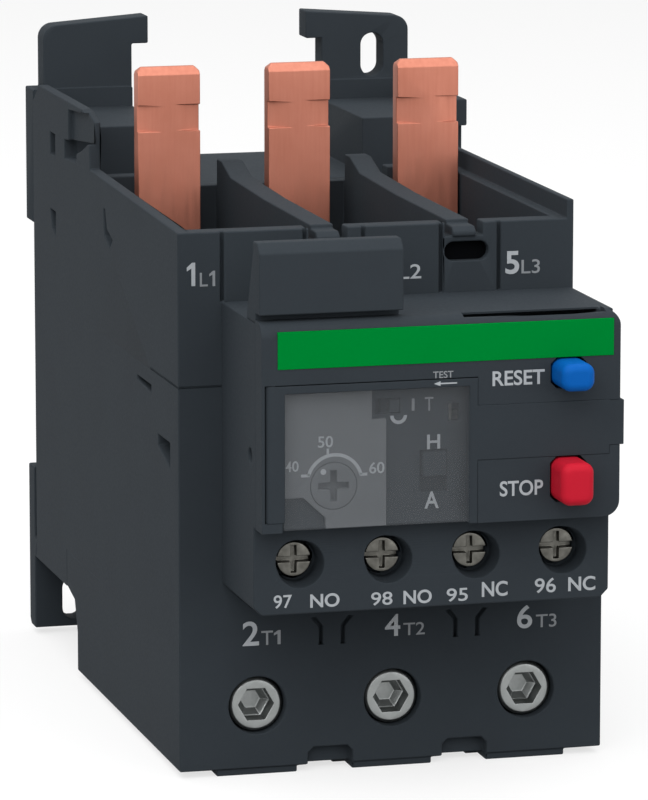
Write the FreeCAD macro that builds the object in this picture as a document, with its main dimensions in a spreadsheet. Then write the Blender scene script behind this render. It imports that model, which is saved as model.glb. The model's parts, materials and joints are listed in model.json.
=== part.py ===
"""Three-pole thermal overload relay, modelled piece by piece as a parametric FreeCAD document.

Product coordinates: X to the right, Y from the front of the terminal block to the rear, Z up from
the underside of the terminal block. SHIFT_Y and SHIFT_Z then carry every piece into the part's own
frame, whose origin is the middle of the assembly's base.
"""
import FreeCAD, Part
import os
import re
from collections import namedtuple

import Sketcher

SIZES = (
    # overall
    ("body_width", 55.0), ("pole_pitch", 17.5), ("body_depth", 85.0), ("flange_reach", 5.0),
    ("wall", 2.2), ("gap_fit", 0.3), ("run_fit", 0.05),
    # terminal block and the heel of the housing behind it
    ("block_depth", 59.2), ("block_height", 15.3), ("heel_depth", 65.5), ("heel_level", 10.3),
    ("heel_round", 5.0), ("rim_drop", 0.9), ("rim_wall", 1.0), ("rim_front", 0.3),
    ("recess_half", 2.9), ("recess_top", 2.2), ("recess_deep", 1.4), ("recess_shift", 0.7), ("bay_front", 5.0), ("bar_floor", 2.7),
    # power screws, cage clamps and bars
    ("screw_level", 8.0), ("head_radius", 3.43), ("head_height", 3.0), ("head_sink", 0.7),
    ("shank_radius", 2.95), ("socket_flats", 4.0), ("socket_depth", 2.4), ("head_gap", 0.25),
    ("cage_half", 5.5), ("cage_arm", 1.1), ("cage_front", 11.5), ("cage_nut", 3.5),
    ("cage_back", 29.5), ("cage_jaw", 2.5), ("cage_low", 3.5), ("cage_high", 12.6),
    ("cage_travel", 6.0), ("bar_front", 18.0), ("bar_thick", 2.5), ("bar_half", 4.0),
    ("bar_low", 1.5), ("bar_leg_top", 28.0), ("bar_leg_half", 1.5),
    # housing levels
    ("mid_seam", 48.6), ("front_top", 68.0), ("right_reach", 23.4), ("side_lip", 2.4),
    ("lip_wall", 0.9), ("upper_depth", 54.0), ("saddle_top", 65.4), ("tower_front", 64.0),
    ("tower_top", 73.0), ("tower_inner", 13.5), ("cheek_top", 76.7), ("cheek_lead", 4.5),
    ("cheek_back", 81.4), ("cheek_drop", 1.2), ("right_cheek_front", 61.5), ("cheek_wall", 3.0),
    ("cheek_thin", 1.5), ("cheek_under", 71.8), ("wall_rise", 1.3), ("catch_deep", 0.7),
    # sealed chamber with the bimetals
    ("chamber_front", 6.0), ("chamber_back", 50.0), ("rib_wall", 1.6), ("rib_top", 44.0),
    ("bimetal_thick", 1.0), ("bimetal_front", 30.5), ("bimetal_wide", 5.0),
    ("bimetal_low", 19.2), ("bimetal_top", 43.5), ("coil_wire", 0.8), ("coil_gap", 0.1),
    ("coil_low", 27.0), ("coil_pitch", 2.0), ("coil_ring", 1.0),
    ("slide_front", 29.0), ("slide_wide", 8.0), ("slide_thick", 1.2), ("slide_low", 20.2),
    ("slide_step", 2.8), ("slide_left", 22.5), ("slide_right", 20.2), ("trip_travel", 1.6),
    ("ear_left", 14.5), ("ear_reach", 4.0), ("stud_x", 17.4), ("stud_radius", 0.85),
    ("stud_y", 39.0), ("post_reach", 5.8),
    # compensating lever, rocker and contact carrier
    ("lever_gap", 4.9), ("lever_pivot", 18.0), ("lever_strip", 1.0), ("lever_hub", 1.6),
    ("lever_pin", 0.8), ("lever_low", 28.5), ("lever_rear_top", 31.5), ("lever_rear", 41.0),
    ("lever_drop", 3.6), ("lever_drop_low", 23.8), ("nose_x", 19.8), ("lever_bend", 12.0),
    ("lever_nose", 4.0), ("lever_nose_low", 42.0), ("lever_top", 46.0),
    ("rocker_x", 12.0), ("rocker_y", 9.0), ("rocker_pin", 0.8), ("rocker_hub", 1.8),
    ("rocker_low", 43.0), ("rocker_thick", 2.0), ("flag_x", 2.7), ("flag_reach", 14.0),
    ("carrier_left", 15.0), ("carrier_right", 7.3), ("carrier_front", 7.0), ("carrier_wide", 4.0),
    ("carrier_height", 3.0), ("carrier_travel", 1.0),
    # copper blades
    ("blade_shift", -0.8), ("blade_width", 8.3), ("blade_front", 42.9), ("blade_thick", 2.5),
    ("blade_top", 83.3), ("blade_low", 38.0), ("blade_lead", 1.0), ("nick_low", 74.9),
    ("nick_high", 78.3), ("nick_run", 3.4), ("nick_depth", 0.8), ("blade_leg_low", 41.3),
    # wells, ramps, panels
    ("well_front", 3.0), ("well_back", 51.5), ("well_floor", 2.0), ("ramp_shift", 0.35),
    ("ramp_wall", 3.0), ("ramp_nose", 0.4), ("ramp_low", 67.5), ("ramp_high", 68.4),
    ("fin_top", 69.9), ("fin_front", 46.0), ("groove_wide", 0.45), ("groove_deep", 0.8),
    ("groove_shift", 0.8), ("notch_shift", 0.9), ("notch_half", 1.2), ("seam_wide", 0.15), ("seam_run", 15.0),
    ("channel_wide", 7.5), ("channel_top", 66.3), ("pilot_level", 64.4), ("pilot_half", 2.85),
    ("pilot_radius", 1.2), ("pilot_deep", 7.0), ("panel_low", 59.3),
    # mounting plate
    ("plate_thick", 4.2), ("arm_set", 0.3), ("flange_low", 57.2), ("flange_top", 75.6),
    ("flange_wall", 2.5), ("web_half", 25.0), ("arm_outer", 25.9), ("arm_inner", 13.5),
    ("nose_inner", 11.2), ("nose_low", 81.5), ("arm_shoulder", 84.2), ("arm_peak", 85.3),
    ("arm_corner", 2.0), ("foot_inner", 17.0), ("foot_top", 22.8), ("foot_corner", 0.8),
    ("foot_relief", 1.4), ("foot_relief_low", 13.0), ("slot_radius", 1.6), ("slot_run", 1.4),
    ("slot_high_x", 20.7), ("slot_high_z", 79.0), ("slot_low_x", 22.0), ("slot_low_z", 4.0),
    # control housing
    ("module_left", 22.0), ("module_right", 23.2), ("module_low", 23.0), ("module_top", 59.3),
    ("module_depth", 17.0), ("row_depth", 16.0), ("row_top", 34.0), ("module_wall", 1.6),
    ("module_floor", 35.5), ("row_chamfer", 1.0),
    ("aux_first", -16.6), ("aux_pitch", 11.15), ("aux_level", 29.6), ("aux_head", 2.15),
    ("aux_head_height", 2.0), ("aux_shank", 1.4), ("aux_slot", 0.7), ("aux_slot_deep", 1.0),
    ("aux_seat", 12.3), ("aux_bay_half", 4.3), ("aux_bay_front", 10.6), ("aux_bay_back", 1.5),
    ("aux_bay_top", 34.2), ("aux_bar_thick", 1.4), ("aux_nut_thick", 1.2), ("aux_nut_rear", 2.0),
    ("aux_nut_half", 3.8), ("aux_nut_low", 27.0), ("aux_travel", 4.0),
    # fascia
    ("fascia_front", 20.1), ("fascia_low", 34.0), ("fascia_top", 59.7), ("fascia_round", 2.0),
    ("label_left", 20.0), ("label_right", 22.3), ("label_low", 54.05), ("label_high", 58.6),
    ("label_thick", 0.6), ("label_proud", 0.1), ("slit_left", 3.5), ("slit_right", 21.5),
    ("slit_wide", 1.2), ("slit_deep", 1.6),
    # cover
    ("cover_left", 21.5), ("cover_right", 5.0), ("cover_top", 52.0), ("cover_thick", 1.3),
    ("sill_top", 35.2), ("sill_right", 19.4), ("arm_low", 41.9), ("arm_high", 48.5),
    ("arm_right", 21.8), ("grip_low", 43.0), ("grip_high", 48.4), ("grip_reach", 23.6),
    ("cover_fit", 0.1),
    ("pane_left", 19.2), ("pane_right", 4.1), ("pane_low", 34.3), ("pane_high", 51.1),
    ("hinge_x", 20.6), ("hinge_pin", 0.5), ("hinge_pin_run", 0.7),
    # scale plate, dial, selector, test slider, trip window
    ("plate_left", 19.1), ("plate_right", 6.0), ("plate_high", 51.2), ("plate_sheet", 0.6),
    ("plate_step", 7.8), ("plate_step_z", 47.2),
    ("plate_front", 18.5), ("plate_notch_x", 16.4), ("plate_notch_z", 37.9),
    ("plate_foot_x", 13.6), ("plate_foot_z", 35.3), ("dial_x", -12.6), ("dial_level", 39.2), ("dial_radius", 2.9),
    ("dial_collar", 3.4), ("dial_shaft", 1.4), ("dial_shaft_end", 9.8), ("cam_radius", 2.0),
    ("cam_offset", 0.3), ("cam_thick", 1.4), ("dial_slot", 0.8), ("dial_slot_deep", 0.9),
    ("selector_x", 0.1), ("selector_half", 1.5), ("selector_low", 39.8), ("selector_high", 42.8),
    ("selector_travel", 1.8), ("test_left", 7.2), ("test_right", 4.1), ("test_low", 47.7),
    ("test_high", 49.6), ("tongue_wide", 1.2), ("test_travel", 1.4), ("flange_out", 0.8),
    ("flange_thick", 0.8), ("window_half", 0.7), ("window_low", 46.4), ("window_high", 48.6),
    # buttons
    ("button_front", 24.6), ("button_left", 14.5), ("button_right", 18.7), ("button_round", 1.3),
    ("reset_low", 50.4), ("reset_high", 53.85), ("stop_low", 36.3), ("stop_high", 41.6),
    ("button_fit", 0.2), ("stem_half", 1.1), ("reset_stem_end", 3.4), ("stop_stem_end", 6.4),
    ("reset_travel", 2.5), ("stop_travel", 2.0),
    # marker holder above the module
    ("holder_right", 4.0), ("holder_front", 19.1), ("holder_thick", 3.2), ("holder_low", 60.5),
    ("holder_top", 69.2), ("holder_bevel", 1.2), ("holder_web", 6.5), ("holder_foot", 1.4),
)

DERIVED = (
    ("lever_x", "body_width / 2 - lever_gap"),
    ("cheek_front", "upper_depth - cheek_lead"),
)

Circle = namedtuple("Circle", "x y radius")
Slot = namedtuple("Slot", "x y half_run radius upright")

SHIFT_Y = "(button_front - body_depth - flange_reach) / 2"
SHIFT_Z = "rim_drop"
AXES = {"XY": ("XY_Plane", 1, 2), "XZ": ("XZ_Plane", -1, 1), "YZ": ("YZ_Plane", 1, 0)}
HALF = "body_width / 2"
REAR = "(body_depth + flange_reach)"
POLES = (-1, 0, 1)
WORD = re.compile(r"\b[a-z][a-z0-9_]*\b")
FUNCTIONS = ("sqrt", "abs")

doc = FreeCAD.newDocument("OverloadRelay")
sheet = doc.addObject("Spreadsheet::Sheet", "Sizes")
nodes = []


def fill_sheet():
    """Write every driving dimension into the sheet, one alias a row."""
    for row, (name, value) in enumerate(SIZES, 1):
        sheet.set(f"A{row}", name)
        sheet.set(f"B{row}", str(value))
        sheet.setAlias(f"B{row}", name)
    for row, (name, formula) in enumerate(DERIVED, len(SIZES) + 1):
        sheet.set(f"A{row}", name)
        sheet.set(f"B{row}", f"={formula}")
        sheet.setAlias(f"B{row}", name)
    doc.recompute()


def bind(text):
    """Turn an expression of size names into one that reads the sheet."""
    return WORD.sub(lambda m: m[0] if m[0] in FUNCTIONS else "Sizes." + m[0], text)


def size(text):
    """Return the present value of an expression of size names."""
    return float(sheet.evalExpression(bind(text)))


def pole(index, text="0"):
    """Return the X expression of a point that lies at text from the middle of a pole."""
    return f"({index}) * pole_pitch + ({text})"


def shift(obj):
    """Bind an object's place to the part's own frame."""
    obj.setExpression("Placement.Base.y", bind(SHIFT_Y))
    obj.setExpression("Placement.Base.z", bind(SHIFT_Z))


# ---------------------------------------------------------------- PartDesign bodies

def new_body(label):
    """Start one sub-part as a PartDesign body."""
    body = doc.addObject("PartDesign::Body", "Body_" + label)
    body.Label = label
    shift(body)
    nodes.append(body)
    doc.recompute()
    return body


def rectangle(x_low, x_high, y_low, y_high):
    """Return the corners of a rectangle."""
    return [(x_low, y_low), (x_high, y_low), (x_high, y_high), (x_low, y_high)]


def trimmed(x_low, x_high, y_low, y_high, trim):
    """Corners of a rectangle whose four corners are cut off at 45 degrees."""
    return [(f"{x_low} + {trim}", y_low), (f"{x_high} - {trim}", y_low),
            (x_high, f"{y_low} + {trim}"), (x_high, f"{y_high} - {trim}"),
            (f"{x_high} - {trim}", y_high), (f"{x_low} + {trim}", y_high),
            (x_low, f"{y_high} - {trim}"), (x_low, f"{y_low} + {trim}")]


def hexagon(x, y, flats):
    """Return the corners of a hexagon given across its flats."""
    half = f"({flats}) / 2"
    corner = f"({flats}) / sqrt(3)"
    return [(f"{x} + {corner}", f"{y}"), (f"{x} + {corner} / 2", f"{y} + {half}"),
            (f"{x} - {corner} / 2", f"{y} + {half}"), (f"{x} - {corner}", f"{y}"),
            (f"{x} - {corner} / 2", f"{y} - {half}"), (f"{x} + {corner} / 2", f"{y} - {half}")]


def hold(sketch, kind, text, *where):
    """Add one sketch dimension and bind it to its expression."""
    index = sketch.addConstraint(Sketcher.Constraint(kind, *where, size(text)))
    sketch.setExpression(f"Constraints[{index}]", bind(text))


def hold_point(sketch, x, y, geometry, point):
    """Bind a sketch point's two coordinates, measured from the sketch's origin."""
    hold(sketch, "DistanceX", x, -1, 1, geometry, point)
    hold(sketch, "DistanceY", y, -1, 1, geometry, point)


def draw_corners(sketch, corners):
    """Draw a closed outline with straight sides."""
    first = sketch.GeometryCount
    count = len(corners)
    points = [FreeCAD.Vector(size(x), size(y), 0) for x, y in corners]
    for i in range(count):
        sketch.addGeometry(Part.LineSegment(points[i], points[(i + 1) % count]), False)
    for i in range(count):
        sketch.addConstraint(Sketcher.Constraint("Coincident", first + i, 2, first + (i + 1) % count, 1))
    for i, (x, y) in enumerate(corners):
        hold_point(sketch, x, y, first + i, 1)


def draw_circle(sketch, circle):
    """Draw a circle."""
    middle = FreeCAD.Vector(size(circle.x), size(circle.y), 0)
    index = sketch.addGeometry(Part.Circle(middle, FreeCAD.Vector(0, 0, 1), size(circle.radius)), False)
    hold_point(sketch, circle.x, circle.y, index, 3)
    hold(sketch, "Radius", circle.radius, index)


def draw_slot(sketch, slot):
    """Draw a slot with round ends, along the sketch's first axis or upright along its second."""
    first = sketch.GeometryCount
    run = [("0", slot.half_run), (slot.half_run, "0")][0 if slot.upright else 1]
    high = (f"({slot.x}) + ({run[0]})", f"({slot.y}) + ({run[1]})")
    low = (f"({slot.x}) - ({run[0]})", f"({slot.y}) - ({run[1]})")
    radius = size(slot.radius)
    turn = 0.0 if slot.upright else -90.0
    side = FreeCAD.Rotation(FreeCAD.Vector(0, 0, 1), turn).multVec(FreeCAD.Vector(radius, 0, 0))
    cap = FreeCAD.Rotation(FreeCAD.Vector(0, 0, 1), turn).multVec(FreeCAD.Vector(0, radius, 0))
    ends = [FreeCAD.Vector(size(x), size(y), 0) for x, y in (high, low)]
    sketch.addGeometry(Part.Arc(ends[0] + side, ends[0] + cap, ends[0] - side), False)
    sketch.addGeometry(Part.LineSegment(ends[0] - side, ends[1] - side), False)
    sketch.addGeometry(Part.Arc(ends[1] - side, ends[1] - cap, ends[1] + side), False)
    sketch.addGeometry(Part.LineSegment(ends[1] + side, ends[0] + side), False)
    for i in range(4):
        sketch.addConstraint(Sketcher.Constraint("Tangent", first + i, 2, first + (i + 1) % 4, 1))
    for arc, (x, y) in ((first, high), (first + 2, low)):
        hold_point(sketch, x, y, arc, 3)
        hold(sketch, "Radius", slot.radius, arc)


def sketch_at(body, plane, level, shapes):
    """Draw shapes on one of a body's own planes, moved to a level along that plane's normal."""
    role, sign, _ = AXES[plane]
    sketch = body.newObject("Sketcher::SketchObject", "Sketch_" + body.Label)
    sketch.AttachmentSupport = [(next(o for o in body.Origin.OriginFeatures if o.Role == role), "")]
    sketch.MapMode = "FlatFace"
    sketch.setExpression("AttachmentOffset.Base.z", bind(f"({sign}) * ({level})"))
    for shape in shapes:
        if isinstance(shape, Circle):
            draw_circle(sketch, shape)
        elif isinstance(shape, Slot):
            draw_slot(sketch, shape)
        else:
            draw_corners(sketch, shape)
    return sketch


def pad(body, plane, span, *shapes):
    """Add material between two levels along the plane's axis."""
    start = span[0] if AXES[plane][1] > 0 else span[1]
    sketch = sketch_at(body, plane, start, shapes)
    feature = body.newObject("PartDesign::Pad", "Pad_" + body.Label)
    feature.Profile = sketch
    feature.setExpression("Length", bind(f"({span[1]}) - ({span[0]})"))
    doc.recompute()
    return feature


def pocket(body, plane, span, *shapes):
    """Remove material between two levels along the plane's axis, and check that it cut."""
    before = body.Tip.Shape.Volume
    start = span[1] if AXES[plane][1] > 0 else span[0]
    sketch = sketch_at(body, plane, start, shapes)
    feature = body.newObject("PartDesign::Pocket", "Pocket_" + body.Label)
    feature.Profile = sketch
    feature.setExpression("Length", bind(f"({span[1]}) - ({span[0]})"))
    doc.recompute()
    if feature.Shape.Volume >= before:
        raise RuntimeError(f"{feature.Name} in {body.Label} cuts nothing")
    return feature


def axis_of(edge):
    """Return the index of the axis that a straight edge runs along, or None."""
    if edge.Curve.TypeId != "Part::GeomLine":
        return None
    run = edge.Vertexes[-1].Point - edge.Vertexes[0].Point
    for index in range(3):
        if abs(abs(run[index]) - run.Length) < 1e-6:
            return index
    return None


def at(edge, axis, text, reach=0.01):
    """Tell whether the middle of an edge lies at a level along an axis."""
    return abs(edge.CenterOfMass[axis] - size(text)) < reach


def soften(body, kind, amount, picks):
    """Round (Fillet) or bevel (Chamfer) the edges of a body that picks accepts."""
    base = body.Tip
    names = [f"Edge{i}" for i, edge in enumerate(base.Shape.Edges, 1) if picks(edge)]
    if not names:
        raise RuntimeError(f"no edge to soften in {body.Label}")
    feature = body.newObject("PartDesign::" + kind, kind + "_" + body.Label)
    feature.Base = (base, names)
    feature.setExpression("Radius" if kind == "Fillet" else "Size", bind(amount))
    body.Tip = feature
    doc.recompute()
    return feature


# ---------------------------------------------------------------- Part primitives

def block(x, y, z):
    """Make a box between pairs of levels."""
    box = doc.addObject("Part::Box", "Box")
    for name, (low, high) in (("Length", x), ("Width", y), ("Height", z)):
        box.setExpression(name, bind(f"({high}) - ({low})"))
    box.setExpression("Placement.Base.x", bind(x[0]))
    box.setExpression("Placement.Base.y", bind(f"({y[0]}) + {SHIFT_Y}"))
    box.setExpression("Placement.Base.z", bind(f"({z[0]}) + {SHIFT_Z}"))
    return box


def rod(axis, across, span, radius):
    """Make a cylinder along an axis; across holds its two other coordinates in X, Y, Z order."""
    cylinder = doc.addObject("Part::Cylinder", "Rod")
    turns = {"X": ((0, 1, 0), 90.0), "Y": ((1, 0, 0), -90.0), "Z": ((0, 0, 1), 0.0)}
    direction, angle = turns[axis]
    cylinder.Placement = FreeCAD.Placement(FreeCAD.Vector(), FreeCAD.Rotation(FreeCAD.Vector(*direction), angle))
    place = list(across)
    place.insert("XYZ".index(axis), span[0])
    cylinder.setExpression("Radius", bind(radius))
    cylinder.setExpression("Height", bind(f"({span[1]}) - ({span[0]})"))
    cylinder.setExpression("Placement.Base.x", bind(place[0]))
    cylinder.setExpression("Placement.Base.y", bind(f"({place[1]}) + {SHIFT_Y}"))
    cylinder.setExpression("Placement.Base.z", bind(f"({place[2]}) + {SHIFT_Z}"))
    return cylinder


def fuse(*parts):
    """Fuse primitives into one solid."""
    result = doc.addObject("Part::MultiFuse", "Fuse")
    result.Shapes = list(parts)
    result.Refine = True
    return result


def cut(base, *tools):
    """Cut tools from a base, and check that they cut."""
    result = doc.addObject("Part::Cut", "Cut")
    result.Base = base
    result.Tool = tools[0] if len(tools) == 1 else fuse(*tools)
    doc.recompute()
    if result.Shape.Volume >= base.Shape.Volume:
        raise RuntimeError("a cut removes nothing")
    return result


def group(*parts):
    """Hold separate solids together as one sub-part."""
    result = doc.addObject("Part::Compound", "Group")
    result.Links = list(parts)
    return result


def name(obj, label):
    """Give a finished sub-part its label."""
    obj.Label = label
    nodes.append(obj)
    return obj


# ---------------------------------------------------------------- terminal block and its hardware

def bay(index):
    """Return the corners, seen from above, of one cage clamp's bay."""
    half = "cage_half + gap_fit"
    return rectangle(pole(index, f"-({half})"), pole(index, half), "bay_front", "cage_back + gap_fit")


def rim(index):
    """Return the corners of the rim around one conductor entry."""
    half = "cage_half + gap_fit + rim_wall"
    return rectangle(pole(index, f"-({half})"), pole(index, half), "bay_front - rim_wall",
                     "cage_back + gap_fit + rim_wall")


def terminal_block():
    """Lower moulding: conductor entries from below, screws in wells from the front."""
    body = new_body("terminal_block")
    pad(body, "YZ", (f"-({HALF})", HALF),
        [("0", "0"), ("block_depth", "0"), ("block_depth", "heel_level - heel_round"),
         ("block_depth + heel_round / 3", "heel_level - heel_round / 5"), ("heel_depth", "heel_level"),
         ("heel_depth", "block_height"), ("0", "block_height")])
    pad(body, "XY", ("-rim_drop", "0"), *[rim(k) for k in POLES])
    pad(body, "XY", ("-rim_drop", "0"),
        *[rectangle(pole(k, "-cage_half + gap_fit"), pole(k, "cage_half - gap_fit"),
                    "rim_front", "bay_front - rim_wall") for k in POLES])
    pocket(body, "XY", ("-rim_drop", "cage_high + gap_fit"), *[bay(k) for k in POLES])
    pocket(body, "XZ", ("0", "head_sink + head_height + gap_fit"),
           *[Circle(pole(k), "screw_level", "head_radius + head_gap") for k in POLES])
    pocket(body, "XZ", ("0", "bay_front"),
           *[Circle(pole(k), "screw_level", "shank_radius + run_fit") for k in POLES])
    pocket(body, "XY", ("cage_high", "block_height"),
           *[rectangle(pole(k, "-bar_half"), pole(k, "bar_half"), "bar_front", "bar_front + bar_thick")
             for k in POLES])
    for k in POLES[:2]:
        middle = pole(k, "pole_pitch / 2 + recess_shift")
        pocket(body, "XZ", ("0", "recess_deep"),
               [(f"{middle} - recess_half", "0"), (f"{middle} + recess_half", "0"),
                (f"{middle} + recess_half", "recess_top - 0.7"),
                (f"{middle} + recess_half - 0.7", "recess_top"),
                (f"{middle} - recess_half + 0.7", "recess_top"),
                (f"{middle} - recess_half", "recess_top - 0.7")])


def power_screw(index):
    """Hexagon-socket clamp screw."""
    body = new_body(f"power_screw_{index + 2}")
    x = pole(index)
    pad(body, "XZ", ("head_sink", "head_sink + head_height"), Circle(x, "screw_level", "head_radius"))
    soften(body, "Chamfer", "head_height / 8",
           lambda edge: edge.Curve.TypeId == "Part::GeomCircle" and at(edge, 1, "head_sink"))
    pad(body, "XZ", ("head_sink + head_height", "bar_front - gap_fit"), Circle(x, "screw_level", "shank_radius"))
    pocket(body, "XZ", ("head_sink", "head_sink + socket_depth"), hexagon(x, "screw_level", "socket_flats"))


def power_clamp(index):
    """Cage clamp: threaded front wall, two arms and the jaw that lifts the conductor to the bar."""
    body = new_body(f"power_clamp_{index + 2}")
    pad(body, "XY", ("cage_low", "cage_high"),
        rectangle(pole(index, "-cage_half"), pole(index, "cage_half"), "cage_front", "cage_back"))
    pocket(body, "XY", ("cage_low", "cage_high"),
           rectangle(pole(index, "-cage_half + cage_arm"), pole(index, "cage_half - cage_arm"),
                     "cage_front + cage_nut", "cage_back - cage_jaw"))
    pocket(body, "XZ", ("cage_front", "cage_front + cage_nut"),
           Circle(pole(index), "screw_level", "shank_radius + run_fit"))


def output_bar(index):
    """Copper bar from the heater down into the cage clamp."""
    upright = block((pole(index, "-bar_half"), pole(index, "bar_half")),
                    ("bar_front", "bar_front + bar_thick"), ("bar_low", "bar_leg_top"))
    leg = block((pole(index, "-bar_leg_half"), pole(index, "bar_leg_half")),
                ("bar_front + bar_thick", "bimetal_front - coil_gap - coil_wire"),
                ("bar_leg_top - bar_thick", "bar_leg_top"))
    name(fuse(upright, leg), f"output_bar_{index + 2}")


# ---------------------------------------------------------------- main housing and its sealed chamber

CHAMBER_SIDE = f"{HALF} - wall"
CHAMBER_FLOOR = "block_height + bar_floor"


def slide_window(step):
    """Return the opening, seen from the side, that a slide passes through in a rib."""
    low = f"slide_low + ({step}) * slide_step"
    return rectangle("slide_front - gap_fit", "slide_front + slide_wide + gap_fit",
                     f"{low} - gap_fit", f"{low} + slide_thick + gap_fit")


def main_housing():
    """Main moulding: chamber for the bimetals, open on top, and the tower behind the wells."""
    body = new_body("main_housing")
    pad(body, "YZ", (f"-({HALF})", HALF),
        [("0", "block_height"), ("heel_depth", "block_height"), ("heel_depth", "heel_level"),
         ("body_depth", "heel_level"), ("body_depth", "saddle_top"), ("upper_depth", "saddle_top"),
         ("upper_depth", "mid_seam"), ("0", "mid_seam")])
    for low, high in ((f"-({HALF})", "-tower_inner"), ("tower_inner", HALF)):
        pad(body, "XY", ("saddle_top", "tower_top"), rectangle(low, high, "tower_front", "body_depth"))
    left_cheek(body)
    right_cheek(body)
    pocket(body, "XY", (CHAMBER_FLOOR, "mid_seam"),
           rectangle(f"-({CHAMBER_SIDE})", CHAMBER_SIDE, "chamber_front", "chamber_back"))
    for k in POLES[:2]:
        middle = pole(k, "pole_pitch / 2")
        pad(body, "XY", (CHAMBER_FLOOR, "rib_top"),
            rectangle(f"{middle} - rib_wall / 2", f"{middle} + rib_wall / 2", "chamber_front", "chamber_back"))
    pocket(body, "YZ", ("-pole_pitch", "pole_pitch"), slide_window(0), slide_window(1))
    pocket(body, "XY", ("block_height", CHAMBER_FLOOR),
           *[rectangle(pole(k, "-bar_half"), pole(k, "bar_half"), "bar_front", "bar_front + bar_thick")
             for k in POLES])
    pocket(body, "XZ", ("0", "chamber_front"),
           rectangle("nose_x - 2.6", "nose_x + 1", "lever_nose_low - gap_fit", "lever_top + gap_fit"))
    pocket(body, "XY", (f"{CHAMBER_FLOOR} - lever_pin", CHAMBER_FLOOR), Circle("lever_x", "lever_pivot", "lever_pin"))
    front_notches(body)
    side_openings(body)
    catch_window(body)


def left_cheek(body):
    """Left side wall of the tower, a thin sheet that stands above the saddle."""
    pad(body, "YZ", (f"-({HALF})", f"-({HALF}) + cheek_thin"),
        [("upper_depth", "saddle_top"), ("body_depth", "saddle_top"), ("body_depth", "cheek_top - side_lip"),
         ("cheek_back", "cheek_top"), ("upper_depth", "cheek_top")])


def catch_window(body):
    """Catch recess and its slot, which lie in both mouldings where the left wall steps up."""
    pocket(body, "YZ", (f"-({HALF})", f"-({HALF}) + catch_deep"),
           [("cheek_front", "cheek_top"), ("cheek_front", "cheek_top - 4.1"),
            ("upper_depth + 8.4", "cheek_top - 5.7"), ("upper_depth + 8.4", "cheek_top - 1.1"),
            ("upper_depth + 0.8", "cheek_top - 0.6")])
    pocket(body, "YZ", (f"-({HALF})", f"-({HALF}) + cheek_thin"),
           [("upper_depth + 11", "cheek_top - 5.4"), ("upper_depth - 3.4", "cheek_top - 4.2"),
            ("upper_depth + 1", "cheek_top - 5.7"), ("upper_depth + 3.6", "cheek_top - 6.3"),
            ("upper_depth + 3.6", "cheek_top - 7.7"), ("upper_depth + 11", "cheek_top - 7.9")])


def right_cheek(body):
    """Right side wall of the tower, with the ear that overhangs the wells."""
    pad(body, "YZ", (f"{HALF} - cheek_wall", HALF),
        [("tower_front", "tower_top"), ("tower_front", "cheek_under"), ("right_cheek_front", "cheek_under"),
         ("right_cheek_front", "tower_top + side_lip"), ("cheek_back", "tower_top + side_lip"),
         ("body_depth", "tower_top")])


def front_notches(body):
    """Pairs of angled slots between the pole marks, each bent like half a Y."""
    for k in POLES[:2]:
        middle = pole(k, "pole_pitch / 2 + notch_shift")
        for side in (-1, 1):
            pocket(body, "XZ", ("0", "groove_deep"),
                   [(f"{middle} + ({side}) * (notch_half + 1.5)", "block_height + 3.5"),
                    (f"{middle} + ({side}) * (notch_half + 0.9)", "block_height + 3.6"),
                    (f"{middle} + ({side}) * notch_half", "block_height + 2.4"),
                    (f"{middle} + ({side}) * notch_half", "block_height"),
                    (f"{middle} + ({side}) * (notch_half + groove_wide)", "block_height"),
                    (f"{middle} + ({side}) * (notch_half + groove_wide)", "block_height + 2.3")])


def side_openings(body):
    """Mould openings in the left wall of the main housing."""
    deep = (f"-({HALF})", f"-({HALF}) + groove_deep * 2")
    solid = (f"-({HALF})", f"-({HALF}) + groove_deep * 5")
    pocket(body, "YZ", solid, rectangle("70.9", "74", "68.3", "71.2"))
    pocket(body, "YZ", solid, [("70.9", "60.7"), ("74.2", "60.7"), ("73.2", "58.4"), ("70.9", "57.3")])
    pocket(body, "YZ", deep, [("4.6", "41"), ("11", "41"), ("11", "39.6"), ("4.6", "37.8")])
    pocket(body, "YZ", deep, [("14.7", "46.6"), ("22.5", "46.6"), ("22.5", "46.1"), ("14.7", "45.6")])


def bimetal(index):
    """Bimetal strip, welded to the blade at its top and free at its lower end."""
    strip = block((pole(index), pole(index, "bimetal_thick")),
                  ("bimetal_front", "bimetal_front + bimetal_wide"), ("bimetal_low", "bimetal_top"))
    name(strip, f"bimetal_strip_{index + 2}")


def heater_coil(index):
    """Flat heater wire wound round a bimetal: rings joined by risers that alternate front and back."""
    inner = rectangle(pole(index, "-coil_gap"), pole(index, "bimetal_thick + coil_gap"),
                      "bimetal_front - coil_gap", "bimetal_front + bimetal_wide + coil_gap")
    outer = rectangle(pole(index, "-coil_gap - coil_wire"), pole(index, "bimetal_thick + coil_gap + coil_wire"),
                      "bimetal_front - coil_gap - coil_wire", "bimetal_front + bimetal_wide + coil_gap + coil_wire")
    body = new_body(f"heater_coil_{index + 2}")
    turns = 7
    for turn in range(turns):
        low = f"coil_low + {turn} * coil_pitch"
        if turn:
            edge = 0 if turn % 2 else 2
            start, end = outer[0][1], inner[0][1]
            if edge:
                start, end = inner[2][1], outer[2][1]
            pad(body, "XY", (f"{low} - coil_pitch + coil_ring", low),
                rectangle(pole(index), pole(index, "bimetal_thick"), start, end))
        pad(body, "XY", (low, f"{low} + coil_ring"), outer, inner)


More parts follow.
